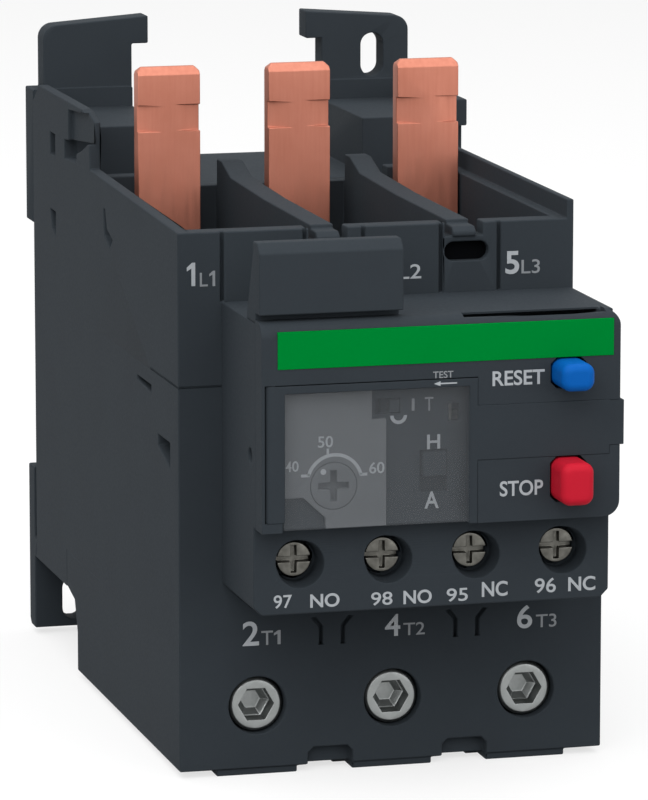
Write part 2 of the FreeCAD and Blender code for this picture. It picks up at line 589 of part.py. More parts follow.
def slide_plate(label, step, ear_depth):
    """Slide that the bimetals push: a plate with one slot for each bimetal and an ear at its end."""
    low = f"slide_low + ({step}) * slide_step"
    high = f"{low} + slide_thick"
    back = "slide_front + slide_wide"
    body = new_body(label)
    pad(body, "XY", (low, high),
        [("-slide_left", "slide_front"), ("slide_right", "slide_front"),
         ("slide_right", f"{back} + {ear_depth}"), ("ear_left", f"{back} + {ear_depth}"),
         ("ear_left", back), ("-slide_left", back)])
    pocket(body, "XY", (low, high),
           *[rectangle(pole(k, "-trip_travel - gap_fit"), pole(k, "bimetal_thick + gap_fit"),
                       "bimetal_front - gap_fit", "bimetal_front + bimetal_wide + gap_fit") for k in POLES])
    return body


LEVER_LOW = "slide_low + slide_step + slide_thick + gap_fit"
TAIL = "slide_front + slide_wide + post_reach"


def slides():
    """Trip slide with the stud of the differential lever, and return slide with the post that holds it."""
    trip = slide_plate("trip_slide", 1, "ear_reach")
    pad(trip, "XY", ("slide_low + slide_step + slide_thick", f"{LEVER_LOW} + slide_thick"),
        Circle("stud_x", "stud_y", "stud_radius"))
    back = slide_plate("return_slide", 0, "post_reach")
    pad(back, "XY", ("slide_low + slide_thick", f"{LEVER_LOW} + slide_thick"),
        rectangle("stud_x + 0.7", "stud_x + 1.9", f"{TAIL} - 1.3", TAIL))


def differential_lever():
    """Small lever on the trip slide: its finger meets the compensating lever, its tail the post."""
    body = new_body("differential_lever")
    finger = "lever_x - lever_strip / 2 - gap_fit"
    pad(body, "XY", (LEVER_LOW, f"{LEVER_LOW} + slide_thick"),
        [("stud_x - 1.6", "stud_y - 1.6"), ("stud_x + 1", "stud_y - 1.6"), (finger, "stud_y - 0.8"),
         (finger, "stud_y + 0.8"), ("stud_x + 1.4", "stud_y + 1.7"), ("stud_x + 0.4", "stud_y + 1.9"),
         ("stud_x + 0.4", f"{TAIL} - 0.3"), ("stud_x - 0.6", f"{TAIL} - 0.3"),
         ("stud_x - 0.6", "stud_y + 1.9"), ("stud_x - 1.6", "stud_y + 1.6")])
    pocket(body, "XY", (LEVER_LOW, f"{LEVER_LOW} + slide_thick"),
           Circle("stud_x", "stud_y", "stud_radius + run_fit"))


def compensating_lever():
    """Temperature-compensating lever: hub on its pin, rear arm at the slides, nose into the module."""
    body = new_body("compensating_lever")
    left = "lever_x - lever_strip / 2"
    right = "lever_x + lever_strip / 2"
    pad(body, "XY", ("lever_low", "lever_top"), Circle("lever_x", "lever_pivot", "lever_hub"))
    pad(body, "XY", ("lever_low", "lever_rear_top"), rectangle(left, right, "lever_pivot", "lever_rear"))
    pad(body, "XY", ("lever_drop_low", "lever_low"),
        rectangle(left, right, "lever_rear - lever_drop", "lever_rear"))
    pad(body, "XY", ("lever_nose_low", "lever_top"),
        [(left, "lever_pivot"), ("nose_x - lever_strip / 2", "lever_bend"),
         ("nose_x - lever_strip / 2", "-lever_nose"), ("nose_x + lever_strip / 2", "-lever_nose"),
         ("nose_x + lever_strip / 2", "lever_bend"), (right, "lever_pivot")])
    pocket(body, "XY", ("lever_drop_low", "lever_top"), Circle("lever_x", "lever_pivot", "lever_pin + run_fit"))


def compensator_pin():
    """Pin of the compensating lever, from the chamber floor to the upper housing."""
    name(rod("Z", ("lever_x", "lever_pivot"), (f"{CHAMBER_FLOOR} - lever_pin", "mid_seam"), "lever_pin"),
         "compensator_pin")


# ---------------------------------------------------------------- upper housing and blades

def ramp_middle(index):
    """Return the X expression of the partition to the right of a pole."""
    return pole(index, "pole_pitch / 2 + ramp_shift")


def wells():
    """Return the three open wells, seen from above."""
    edges = ["-body_width / 2 + cheek_thin"]
    for k in POLES[:2]:
        edges += [f"{ramp_middle(k)} - ramp_wall / 2", f"{ramp_middle(k)} + ramp_wall / 2"]
    edges.append("right_reach - wall")
    return [rectangle(edges[i], edges[i + 1], "well_front", "well_back") for i in (0, 2, 4)]


def upper_housing():
    """Upper moulding: three open wells with the blades, ramps between them, marked panels in front."""
    body = new_body("upper_housing")
    pad(body, "XY", ("mid_seam", "front_top"), rectangle(f"-({HALF})", "right_reach", "0", "upper_depth"))
    pocket(body, "XY", ("mid_seam + well_floor", "front_top"), *wells())
    for k in POLES[:2]:
        pad(body, "YZ", (f"{ramp_middle(k)} - ramp_wall / 2", f"{ramp_middle(k)} + ramp_wall / 2"),
            [("well_front", "channel_top"), ("well_front + 1", "ramp_low"), ("fin_front - 2", "ramp_high"),
             ("fin_front + 1", "fin_top - 0.6"), ("fin_front + 3", "fin_top"), ("well_back", "fin_top"),
             ("well_back", "mid_seam + well_floor"), ("well_front", "mid_seam + well_floor")])
        pocket(body, "XY", ("channel_top", "front_top"),
               rectangle(f"{ramp_middle(k)} - channel_wide / 3", f"{ramp_middle(k)} + channel_wide / 3",
                         "0", "well_front"))
        pad(body, "YZ", (f"{ramp_middle(k)} - ramp_wall / 2", f"{ramp_middle(k)} + ramp_wall / 2"),
            [("-ramp_nose", "channel_top"), ("-ramp_nose", "ramp_low - 0.6"), ("ramp_nose", "ramp_low"),
             ("well_front + 1", "ramp_low"), ("well_front + 1", "channel_top")])
    pad(body, "XY", ("front_top", "front_top + side_lip"),
        rectangle("right_reach - lip_wall", "right_reach", "0", "well_back"))
    pocket(body, "XY", ("saddle_top + well_floor / 2", "front_top"),
           rectangle("-tower_inner", "tower_inner", "well_back", "upper_depth"))
    pad(body, "YZ", (f"-({HALF})", f"-({HALF}) + cheek_thin"),
        [("0", "front_top"), ("upper_depth", "front_top"), ("upper_depth", "cheek_top"),
         ("cheek_front", "cheek_top - cheek_drop"), ("cheek_front", "front_top + wall_rise")])
    catch_window(body)
    grooves = ["groove_wide / 3 - module_left"]
    for k in POLES[:2]:
        grooves += [f"{ramp_middle(k)} + groove_shift + ({side}) * channel_wide / 2" for side in (-1, 1)]
    pocket(body, "XZ", ("0", "groove_deep"),
           *[rectangle(f"{x} - groove_wide / 2", f"{x} + groove_wide / 2", "panel_low", "front_top")
             for x in grooves])
    pocket(body, "XZ", ("0", "pilot_deep"),
           *[Slot(f"{ramp_middle(k)} + ramp_shift", "pilot_level", "pilot_half - pilot_radius", "pilot_radius", False)
             for k in POLES[:2]])
    pocket(body, "XY", ("mid_seam", "mid_seam + well_floor"),
           *[rectangle(blade_x(k, "-blade_width / 2"), blade_x(k, "blade_width / 2"),
                       "blade_front", "blade_front + blade_thick") for k in POLES])
    pocket(body, "XY", ("mid_seam", "mid_seam + seam_wide"),
           [(f"-({HALF})", "0"), ("-module_left", "0"), ("-module_left", "seam_wide"),
            (f"-({HALF}) + seam_wide", "seam_wide"), (f"-({HALF}) + seam_wide", "seam_run"),
            (f"-({HALF})", "seam_run")])
    pocket(body, "YZ", (f"-({HALF})", f"-({HALF}) + groove_deep"),
           [("36.3", "61.9"), ("39.6", "62.8"), ("40.6", "65.4"), ("41.5", "65.2"), ("41", "61.8"), ("38", "60.6")])


def blade_x(index, text="0"):
    """Return the X expression of a point at text from the middle of a blade."""
    return pole(index, f"blade_shift + ({text})")


def input_blade(index):
    """Copper plug-in blade with its coined neck, and the leg inside that carries the bimetal."""
    body = new_body(f"input_blade_{index + 2}")
    pad(body, "XY", ("blade_low", "blade_top"),
        rectangle(blade_x(index, "-blade_width / 2"), blade_x(index, "blade_width / 2"),
                  "blade_front", "blade_front + blade_thick"))
    pad(body, "XY", ("blade_leg_low", "bimetal_top"),
        rectangle(pole(index, "-blade_width / 3"), pole(index), "bimetal_front", "blade_front"))
    soften(body, "Chamfer", "blade_lead",
           lambda edge: axis_of(edge) == 0 and at(edge, 2, "blade_top"))
    soften(body, "Chamfer", "blade_lead * 0.6",
           lambda edge: axis_of(edge) == 1 and at(edge, 2, "blade_top"))
    for side in (-1, 1):
        outer = blade_x(index, f"({side}) * blade_width / 2")
        inner = blade_x(index, f"({side}) * (blade_width / 2 - nick_run)")
        pocket(body, "XY", ("nick_low", "nick_high"),
               [(inner, "blade_front"), (outer, "blade_front"), (outer, "blade_front + nick_depth")])


# ---------------------------------------------------------------- mounting plate

def mounting_plate():
    """Rear plate with the two hooked arms above and the screw foot at the lower left."""
    body = new_body("mounting_plate")
    back = "body_depth + plate_thick"
    right = [("web_half", "heel_level"), ("web_half", "flange_low"), (HALF, "flange_low"),
             (HALF, "flange_top"), ("arm_outer", "flange_top"), ("arm_outer", "arm_shoulder"),
             ("nose_inner", "arm_peak"), ("nose_inner", "nose_low"), ("arm_inner", "nose_low"),
             ("arm_inner", "saddle_top")]
    left = [(f"-({x})", z) for x, z in reversed(right)]
    pad(body, "XZ", ("body_depth", back), right + left)
    pad(body, "XZ", ("body_depth + foot_relief", back),
        rectangle(f"-({HALF})", "-foot_inner", "0", "foot_top"))
    for low, high in ((f"-({HALF})", f"-({HALF}) + flange_wall"), (f"{HALF} - flange_wall", HALF)):
        pad(body, "XZ", (back, REAR), rectangle(low, high, "flange_low", "flange_top"))
    pad(body, "XZ", (back, REAR), rectangle(f"-({HALF})", "-foot_inner", "0", "foot_top"))
    pad(body, "XZ", ("body_depth", "body_depth + foot_relief"),
        rectangle(f"-({HALF})", "-foot_inner", "heel_level", "foot_relief_low"))
    pocket(body, "XZ", ("body_depth", "body_depth + arm_set"),
           rectangle("nose_inner", HALF, "flange_top", "arm_peak + 1"),
           rectangle(f"-({HALF})", "-nose_inner", "flange_top", "arm_peak + 1"))
    pocket(body, "XZ", ("body_depth", REAR),
           Slot("slot_high_x", "slot_high_z", "slot_run", "slot_radius", True),
           Slot("-slot_low_x", "slot_low_z", "slot_run", "slot_radius", True))
    soften(body, "Fillet", "arm_corner",
           lambda edge: axis_of(edge) == 1 and at(edge, 2, "arm_shoulder"))
    soften(body, "Chamfer", "foot_corner",
           lambda edge: axis_of(edge) == 0 and at(edge, 1, REAR) and at(edge, 2, "0"))


# ---------------------------------------------------------------- control housing and its terminals

def aux_x(index, text="0"):
    """Return the X expression of a point at text from a control terminal's middle."""
    return f"aux_first + {index} * aux_pitch + ({text})"


def control_housing():
    """Module shell behind the fascia, with the row of four control terminals below."""
    body = new_body("control_housing")
    pad(body, "YZ", ("-module_left", "module_right"),
        [("0", "module_low"), ("-row_depth", "module_low"), ("-row_depth", "row_top"),
         ("-module_depth", "row_top"), ("-module_depth", "module_top"), ("0", "module_top")])
    soften(body, "Chamfer", "row_chamfer",
           lambda edge: axis_of(edge) == 1 and at(edge, 2, "module_low")
           and (at(edge, 0, "module_right") or at(edge, 0, "-module_left")))
    pocket(body, "XZ", ("-module_depth", "0"),
           rectangle("-module_left + module_wall", "module_right - module_wall",
                     "module_floor", "module_top - module_wall"))
    pocket(body, "XY", ("module_low", "aux_bay_top"),
           *[rectangle(aux_x(k, "-aux_bay_half"), aux_x(k, "aux_bay_half"), "-aux_bay_front", "-aux_bay_back")
             for k in range(4)])
    pocket(body, "XZ", ("-row_depth", "-aux_seat"),
           *[Circle(aux_x(k), "aux_level", "aux_head + 1.5 * gap_fit") for k in range(4)])
    pocket(body, "XZ", ("-row_depth", "-aux_bay_front"),
           *[Circle(aux_x(k), "aux_level", "aux_shank + run_fit") for k in range(4)])
    pocket(body, "YZ", ("-module_left", "-module_left + module_wall"), Circle("-14.3", "42.7", "0.9"))
    pocket(body, "XY", ("module_top - slit_deep", "module_top"),
           rectangle("slit_left", "slit_right", "-module_depth", "-module_depth + slit_wide"))
    pocket(body, "XY", (f"{ROCKER_FLOOR} - rocker_pin", ROCKER_FLOOR), Circle("rocker_x", "-rocker_y", "rocker_pin"))


ROCKER_FLOOR = "module_floor"


def control_screw(index):
    """Slotted control-terminal screw."""
    head = rod("Y", (aux_x(index), "aux_level"),
               ("-aux_seat - aux_head_height - gap_fit", "-aux_seat - gap_fit"), "aux_head")
    shank = rod("Y", (aux_x(index), "aux_level"), ("-aux_seat - gap_fit", "-aux_bay_back - gap_fit"), "aux_shank")
    front = "-aux_seat - aux_head_height - gap_fit"
    reach = "aux_head + gap_fit"
    slots = [block((aux_x(index, f"-({reach})"), aux_x(index, reach)), (front, f"{front} + aux_slot_deep"),
                   ("aux_level - aux_slot / 2", "aux_level + aux_slot / 2")),
             block((aux_x(index, "-aux_slot / 2"), aux_x(index, "aux_slot / 2")), (front, f"{front} + aux_slot_deep"),
                   (f"aux_level - ({reach}) * 0.7", f"aux_level + ({reach}) * 0.7"))]
    name(cut(fuse(head, shank), *slots), f"control_screw_{index + 1}")


def control_nut(index):
    """Clamp plate that the control screw draws towards the fixed terminal."""
    plate = block((aux_x(index, "-aux_nut_half"), aux_x(index, "aux_nut_half")),
                  ("-aux_nut_rear - aux_nut_thick", "-aux_nut_rear"), ("aux_nut_low", "aux_bay_top - gap_fit"))
    hole = rod("Y", (aux_x(index), "aux_level"), ("-aux_nut_rear - aux_nut_thick", "-aux_nut_rear"),
               "aux_shank + run_fit")
    name(cut(plate, hole), f"control_clamp_{index + 1}")


def control_terminals():
    """Four fixed terminal plates, against the front wall of their bays."""
    plates = []
    for k in range(4):
        plate = block((aux_x(k, "-aux_nut_half"), aux_x(k, "aux_nut_half")),
                      ("-aux_bay_front", "-aux_bay_front + aux_bar_thick"), ("aux_nut_low - 2", "aux_bay_top"))
        hole = rod("Y", (aux_x(k), "aux_level"), ("-aux_bay_front", "-aux_bay_front + aux_bar_thick"),
                   "aux_shank + run_fit")
        plates.append(cut(plate, hole))
    name(group(*plates), "control_terminals")


# ---------------------------------------------------------------- trip mechanism in the module

def trip_rocker():
    """Rocker: hub on its pin, one arm at the compensating lever, one at the carrier, one with the flag."""
    body = new_body("trip_rocker")
    low = "rocker_low"
    high = "rocker_low + rocker_thick"
    pad(body, "XY", (low, high), Circle("rocker_x", "-rocker_y", "rocker_hub"))
    tip = "nose_x - lever_strip / 2 - gap_fit"
    pad(body, "XY", (low, high),
        [("rocker_x + 0.3", "-rocker_y - 1.2"), (tip, "-lever_nose + 0.4"), (tip, "-lever_nose + 1.8"),
         ("rocker_x - 0.9", "-rocker_y + 1.1")])
    pad(body, "XY", (low, high),
        [("rocker_x - 0.2", "-rocker_y - 1.1"), ("rocker_x - 0.2", "-rocker_y + 1.3"),
         ("carrier_right + 1.6", "-carrier_front + 3.2"), ("carrier_right + gap_fit", "-carrier_front + 2.8"),
         ("carrier_right + gap_fit", "-carrier_front + 1.2")])
    pad(body, "XY", (low, high),
        [("rocker_x", "-rocker_y - 1.2"), ("rocker_x - 1.2", "-rocker_y + 0.8"),
         ("flag_x - 0.6", "-flag_reach + 1.4"), ("flag_x - 0.6", "-flag_reach"), ("flag_x + 0.8", "-flag_reach")])
    pocket(body, "XY", (low, high), Circle("rocker_x", "-rocker_y", "rocker_pin + run_fit"))


def rocker_pin():
    """Pin of the rocker, between the module's floor and roof."""
    name(rod("Z", ("rocker_x", "-rocker_y"), ("module_floor - rocker_pin", "module_top - module_wall"), "rocker_pin"),
         "rocker_pin")


def trip_flag():
    """Flag behind the trip window, standing on the rocker's long arm."""
    name(block(("flag_x - 0.6", "flag_x + 0.8"), ("-flag_reach", "-flag_reach + 1.2"),
               ("rocker_low + rocker_thick", "window_high")), "trip_flag")


CARRIER_LOW = "module_floor + gap_fit"
CARRIER_TOP = f"{CARRIER_LOW} + carrier_height"


def contact_carrier():
    """Slide that carries the two contact bridges, with a post that the rocker pushes."""
    body = new_body("contact_carrier")
    back = "-carrier_front + carrier_wide"
    pad(body, "XY", (CARRIER_LOW, CARRIER_TOP), rectangle("-carrier_left", "carrier_right", "-carrier_front", back))
    pad(body, "XY", (CARRIER_TOP, "rocker_low + rocker_thick"),
        rectangle("carrier_right - 1.6", "carrier_right", "-carrier_front", back))


def bridge_x(index):
    """Return the X expression of the middle of a contact bridge."""
    return f"-carrier_left + 3.5 + {index} * 9.0"


def contact_bridges():
    """Two contact bridges, upright on the carrier."""
    plates = [block((f"{bridge_x(k)} - 0.3", f"{bridge_x(k)} + 0.3"), ("-carrier_front - 1", "-carrier_front + carrier_wide + 1"),
                    (CARRIER_TOP, f"{CARRIER_TOP} + 2.6")) for k in range(2)]
    name(group(*plates), "contact_bridges")


def fixed_contacts():
    """Fixed contact strips in front of and behind the carrier: one pair closed at rest, one open."""
    offsets = ("-0.3 - gap_fit - carrier_travel - 0.6", "0.3 + gap_fit")
    strips = []
    for k, offset in enumerate(offsets):
        low = f"{bridge_x(k)} + ({offset})"
        for near, far in (("-carrier_front - 1.2", "-carrier_front - gap_fit"),
                          ("-carrier_front + carrier_wide + gap_fit", "-carrier_front + carrier_wide + 1.2")):
            strips.append(block((low, f"{low} + 0.6"), (near, far), ("module_floor", f"{CARRIER_TOP} + 2.6")))
    name(group(*strips), "fixed_contacts")


# ---------------------------------------------------------------- fascia and what shows on it

FACE = "-fascia_front"
BACK = "-module_depth"


def front_fascia():
    """Front face of the module with its label recess, cover recess, windows and button holes."""
    body = new_body("front_fascia")
    pad(body, "XZ", (FACE, BACK), rectangle("-module_left", "module_right", "fascia_low", "fascia_top"))
    soften(body, "Fillet", "fascia_round",
           lambda edge: (axis_of(edge) == 0 and at(edge, 2, "fascia_top") and at(edge, 1, FACE))
           or (axis_of(edge) == 1 and at(edge, 0, "module_right")))
    pocket(body, "XZ", (FACE, f"{FACE} + label_thick - label_proud"),
           rectangle("-label_left", "label_right", "label_low", "label_high"))
    pocket(body, "XZ", (FACE, "-plate_front + plate_sheet"),
           rectangle("-sill_right", "cover_right + cover_fit", "fascia_low", "cover_top + cover_fit"))
    pocket(body, "XZ", (FACE, "-plate_front + plate_sheet"),
           rectangle("-cover_left - cover_fit", "-sill_right", "sill_top", "cover_top + cover_fit"))
    pocket(body, "XZ", (FACE, f"{FACE} + cover_thick + gap_fit"),
           rectangle("cover_right", "arm_right + cover_fit", "arm_low - cover_fit", "arm_high + cover_fit"))
    pocket(body, "XZ", (FACE, f"{FACE} + cover_thick + gap_fit"),
           rectangle("arm_right", "module_right", "grip_low - cover_fit", "grip_high + cover_fit"))
    for low, high in (("reset_low", "reset_high"), ("stop_low", "stop_high")):
        pocket(body, "XZ", (FACE, BACK),
               trimmed("button_left - button_fit", "button_right + button_fit",
                       f"{low} - button_fit", f"{high} + button_fit", "button_round * 0.6"))
    pocket(body, "XZ", ("-plate_front + plate_sheet", BACK), Circle("dial_x", "dial_level", "dial_radius + run_fit"))
    pocket(body, "XZ", ("-plate_front + plate_sheet", BACK),
           rectangle("selector_x - selector_half - button_fit", "selector_x + selector_half + button_fit",
                     "selector_low - selector_travel - button_fit", "selector_high + button_fit"),
           rectangle("-test_left", "-test_right", "test_low", "test_high"),
           rectangle("flag_x - window_half", "flag_x + window_half", "window_low", "window_high"))
    for low, high in (("cover_top", "cover_top + hinge_pin_run + gap_fit"),
                      ("sill_top - hinge_pin_run", "sill_top + gap_fit")):
        pocket(body, "XY", (low, high), Circle("-hinge_x", HINGE_Y, "hinge_pin + run_fit"))
    pocket(body, "XY", ("fascia_top - slit_deep", "fascia_top"),
           rectangle("slit_left", "slit_right", "-module_depth - slit_wide / 2", "-module_depth"))


HINGE_Y = "-fascia_front + cover_thick / 2"


def label_strip():
    """Coloured strip across the top of the fascia, left bare."""
    name(block(("-label_left", "label_right"), (f"{FACE} - label_proud", f"{FACE} + label_thick - label_proud"),
               ("label_low", "label_high")), "label_strip")


def cover_frame():
    """Hinged cover: stile with the hinge pins, top rail, and the arm with its grip between the buttons."""
    body = new_body("cover_frame")
    top = "cover_top - cover_fit"
    low = "sill_top + cover_fit"
    back = f"{FACE} + cover_thick"
    pad(body, "XZ", (FACE, back),
        [("-cover_left + cover_fit", low), ("-pane_left", low), ("-pane_left", "pane_high"),
         ("pane_right", "pane_high"), ("pane_right", "fascia_low + cover_fit"),
         ("cover_right", "fascia_low + cover_fit"), ("cover_right", "arm_low"), ("arm_right", "arm_low"),
         ("arm_right", "grip_low"), ("grip_reach", "grip_low"), ("grip_reach", "grip_high"),
         ("arm_right", "grip_high"), ("arm_right", "arm_high"), ("cover_right", "arm_high"),
         ("cover_right", top), ("-cover_left + cover_fit", top)])
    soften(body, "Fillet", "cover_thick * 0.45",
           lambda edge: axis_of(edge) == 2 and at(edge, 0, "-cover_left + cover_fit"))
    pad(body, "XY", (top, "cover_top + hinge_pin_run"), Circle("-hinge_x", HINGE_Y, "hinge_pin"))
    pad(body, "XY", ("sill_top - hinge_pin_run + cover_fit", low), Circle("-hinge_x", HINGE_Y, "hinge_pin"))


def cover_pane():
    """Smoked clear pane of the cover."""
    name(block(("-pane_left", "pane_right"), (FACE, f"{FACE} + cover_thick"), ("pane_low", "pane_high")),
         "cover_pane")


def scale_plate():
    """Scale plate under the pane, with its notched lower left corner and the dial's bore."""
    body = new_body("scale_plate")
    pad(body, "XZ", ("-plate_front", "-plate_front + plate_sheet"),
        [("-plate_left", "plate_high"), ("-plate_left", "plate_notch_z"), ("-plate_notch_x", "plate_notch_z"),
         ("-plate_foot_x", "plate_foot_z"),
         ("-plate_foot_x", "fascia_low"), ("-plate_right", "fascia_low"), ("-plate_right", "plate_step_z"),
         ("-plate_step", "plate_step_z"), ("-plate_step", "plate_high")],
        Circle("dial_x", "dial_level", "dial_radius + run_fit"))


def setting_dial():
    """Setting dial with its screwdriver slot, retaining collar, shaft and cam."""
    body = new_body("setting_dial")
    behind = "-module_depth + gap_fit"
    pad(body, "XZ", ("-plate_front", behind), Circle("dial_x", "dial_level", "dial_radius"))
    pad(body, "XZ", (behind, f"{behind} + flange_thick"), Circle("dial_x", "dial_level", "dial_collar"))
    pad(body, "XZ", (f"{behind} + flange_thick", "-dial_shaft_end"), Circle("dial_x", "dial_level", "dial_shaft"))
    pad(body, "XZ", ("-dial_shaft_end", "-dial_shaft_end + cam_thick"),
        Circle("dial_x + cam_offset", "dial_level + cam_offset", "cam_radius"))
    long_half = "dial_radius * 0.66"
    pocket(body, "XZ", ("-plate_front", "-plate_front + dial_slot_deep"),
           rectangle(f"dial_x - ({long_half})", f"dial_x + ({long_half})",
                     "dial_level - dial_slot / 2", "dial_level + dial_slot / 2"))
    pocket(body, "XZ", ("-plate_front", "-plate_front + dial_slot_deep"),
           rectangle("dial_x - dial_slot / 2", "dial_x + dial_slot / 2",
                     f"dial_level - ({long_half})", f"dial_level + ({long_half})"))


def flanged_slider(label, x, z, flange_x, flange_z, front):
    """Sliding key: a tongue in its opening and a flange behind the fascia."""
    behind = "-module_depth + gap_fit"
    tongue = block(x, (front, behind), z)
    flange = block(flange_x, (behind, f"{behind} + flange_thick"), flange_z)
    name(fuse(tongue, flange), label)


def mode_selector():
    """Manual or automatic reset selector."""
    flanged_slider("mode_selector",
                   ("selector_x - selector_half", "selector_x + selector_half"), ("selector_low", "selector_high"),
                   ("selector_x - selector_half - flange_out", "selector_x + selector_half + flange_out"),
                   ("selector_low - selector_travel - flange_out / 2",
                    "selector_high + selector_travel + flange_out"), "-plate_front")


def test_slider():
    """Test slider with its tongue at the right end of its opening."""
    flanged_slider("test_slider",
                   ("-test_right - button_fit - tongue_wide", "-test_right - button_fit"),
                   ("test_low + button_fit", "test_high - button_fit"),
                   ("-test_right - button_fit - tongue_wide - flange_out", "-test_right + flange_out"),
                   ("test_low - flange_out", "test_high + flange_out"), "-plate_front + gap_fit")


def button(label, low, high, stem_end):
    """Push button: rounded cap, flange behind the fascia, and stem."""
    body = new_body(label)
    behind = "-module_depth + gap_fit"
    middle = f"({low} + {high}) / 2"
    centre = "(button_left + button_right) / 2"
    pad(body, "XZ", ("-button_front", behind), rectangle("button_left", "button_right", low, high))
    soften(body, "Fillet", "button_round",
           lambda edge: axis_of(edge) == 1 and edge.CenterOfMass.y < -10)
    soften(body, "Fillet", "button_round * 0.8", lambda edge: at(edge, 1, "-button_front"))
    pad(body, "XZ", (behind, f"{behind} + flange_thick"),
        rectangle("button_left - flange_out", "button_right + flange_out", low, f"{high} + flange_out"))
    pad(body, "XZ", (f"{behind} + flange_thick", f"-({stem_end})"),
        rectangle(f"{centre} - stem_half", f"{centre} + stem_half", f"{middle} - stem_half", f"{middle} + stem_half"))


def marker_holder():
    """Plate that stands on the module's top edge and takes a marking label."""
    body = new_body("marker_holder")
    front = "-holder_front"
    pad(body, "XZ", (front, f"{front} + holder_thick"),
        rectangle("-module_left", "-holder_right", "holder_low", "holder_top"))
    soften(body, "Chamfer", "holder_bevel",
           lambda edge: axis_of(edge) == 0 and at(edge, 2, "holder_top") and at(edge, 1, front))
    pad(body, "XY", ("module_top", "holder_low"),
        rectangle("-module_left", "-holder_right", "-module_depth", f"{front} + holder_thick"))
    pad(body, "YZ", ("-module_left", "-module_left + holder_foot"),
        [(f"{front} + holder_thick", "module_top"), (f"{front} + holder_thick", "holder_top - holder_bevel"),
         (f"{front} + holder_web", "module_top")])


def build():
    """Build every sub-part."""
    fill_sheet()
    terminal_block()
    main_housing()
    upper_housing()
    mounting_plate()
    for k in POLES:
        power_screw(k)
        power_clamp(k)
        output_bar(k)
        bimetal(k)
        heater_coil(k)
        input_blade(k)
    slides()
    differential_lever()
    compensating_lever()
    compensator_pin()
    control_housing()
    for k in range(4):
        control_screw(k)
        control_nut(k)
    control_terminals()
    trip_rocker()
    rocker_pin()
    trip_flag()
    contact_carrier()
    contact_bridges()
    fixed_contacts()
    front_fascia()
    label_strip()
    cover_frame()
    cover_pane()
    scale_plate()
    setting_dial()
    mode_selector()
    test_slider()
    button("reset_button", "reset_low", "reset_high", "reset_stem_end")
    button("stop_button", "stop_low", "stop_high", "stop_stem_end")
    marker_holder()
    doc.recompute()


def check():
    """Stop when an object failed or a sub-part's shape is not sound."""
    for obj in doc.Objects:
        if "Invalid" in obj.State or "Error" in obj.State:
            raise RuntimeError(f"{obj.Name} failed: {obj.State}")
    for obj in nodes:
        if obj.Shape.isNull() or not obj.Shape.isValid():
            raise RuntimeError(f"{obj.Label} has no sound shape")


def export():
    """Write one STEP file for each sub-part."""
    os.makedirs("parts", exist_ok=True)
    for obj in nodes:
        obj.Shape.exportStep(f"parts/{obj.Label}.step")


build()
check()
export()
print(len(nodes), "sub-parts")
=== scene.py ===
"""Looks of the three-pole thermal overload relay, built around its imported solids."""
import json
import logging
import math
from dataclasses import dataclass
from enum import Enum
from typing import Sequence

import bmesh
import bpy
from mathutils import Matrix, Vector


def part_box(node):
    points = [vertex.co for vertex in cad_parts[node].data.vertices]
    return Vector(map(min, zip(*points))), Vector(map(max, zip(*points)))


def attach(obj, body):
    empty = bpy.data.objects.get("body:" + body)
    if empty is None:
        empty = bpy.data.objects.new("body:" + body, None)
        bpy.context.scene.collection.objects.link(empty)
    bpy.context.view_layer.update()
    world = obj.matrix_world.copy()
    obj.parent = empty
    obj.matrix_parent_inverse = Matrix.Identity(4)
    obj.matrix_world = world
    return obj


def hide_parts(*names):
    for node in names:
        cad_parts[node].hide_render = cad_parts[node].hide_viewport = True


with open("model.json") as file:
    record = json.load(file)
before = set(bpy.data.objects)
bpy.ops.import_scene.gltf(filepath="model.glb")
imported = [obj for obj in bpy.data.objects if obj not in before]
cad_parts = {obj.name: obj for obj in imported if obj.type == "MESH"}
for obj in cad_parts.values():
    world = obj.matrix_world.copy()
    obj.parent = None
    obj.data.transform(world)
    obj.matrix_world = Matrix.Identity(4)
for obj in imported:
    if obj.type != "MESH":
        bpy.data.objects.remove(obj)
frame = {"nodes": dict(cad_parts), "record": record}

MM = 0.001
NODES: dict[str, bpy.types.Object] = frame["nodes"]
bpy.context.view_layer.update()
BODY_OF: dict[str, str] = {
    node: body for body, nodes in frame["record"]["behaviour"]["bodies"].items() for node in nodes
}
DRESSED: set[str] = set()
RIM_DROP = 0.9 * MM
POLE_PITCH = 17.5
POLES = (1, 2, 3)
CONTROL_PITCH = 11.15
CONTROLS = (1, 2, 3, 4)
WELD = 2e-6
EDGE_ANGLE = 32.0
SMOOTH_ANGLE = 38.0

Outline = tuple[tuple[float, float], ...]

logging.basicConfig(level=logging.INFO, format="%(message)s")
log = logging.getLogger("relay")


# ---------------------------------------------------------------- places

class Datum:
    """Zero of the relay's own millimetre grid: front of the terminal block, underside, middle."""

    def __init__(self) -> None:
        """Read the zero from the terminal block's box."""
        low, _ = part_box("terminal_block")
        self.zero = Vector((0.0, low.y, low.z + RIM_DROP))

    def at(self, x: float, y: float, z: float) -> Vector:
        """Turn a place on the millimetre grid into the frame's metres.

        Args:
            x: Distance right of the middle, in millimetres.
            y: Distance behind the terminal block's front, in millimetres.
            z: Height above the terminal block's underside, in millimetres.

        Returns:
            The place in the frame, in metres.
        """
        return self.zero + Vector((x, y, z)) * MM


DATUM = Datum()


def pole_x(index: int) -> float:
    """Return the middle of a pole, across, for poles 1 to 3."""
    return (index - 2) * POLE_PITCH


# ---------------------------------------------------------------- small tools

def deselect() -> None:
    """Deselect every object."""
    for obj in bpy.context.selected_objects:
        obj.select_set(False)
    bpy.context.view_layer.objects.active = None


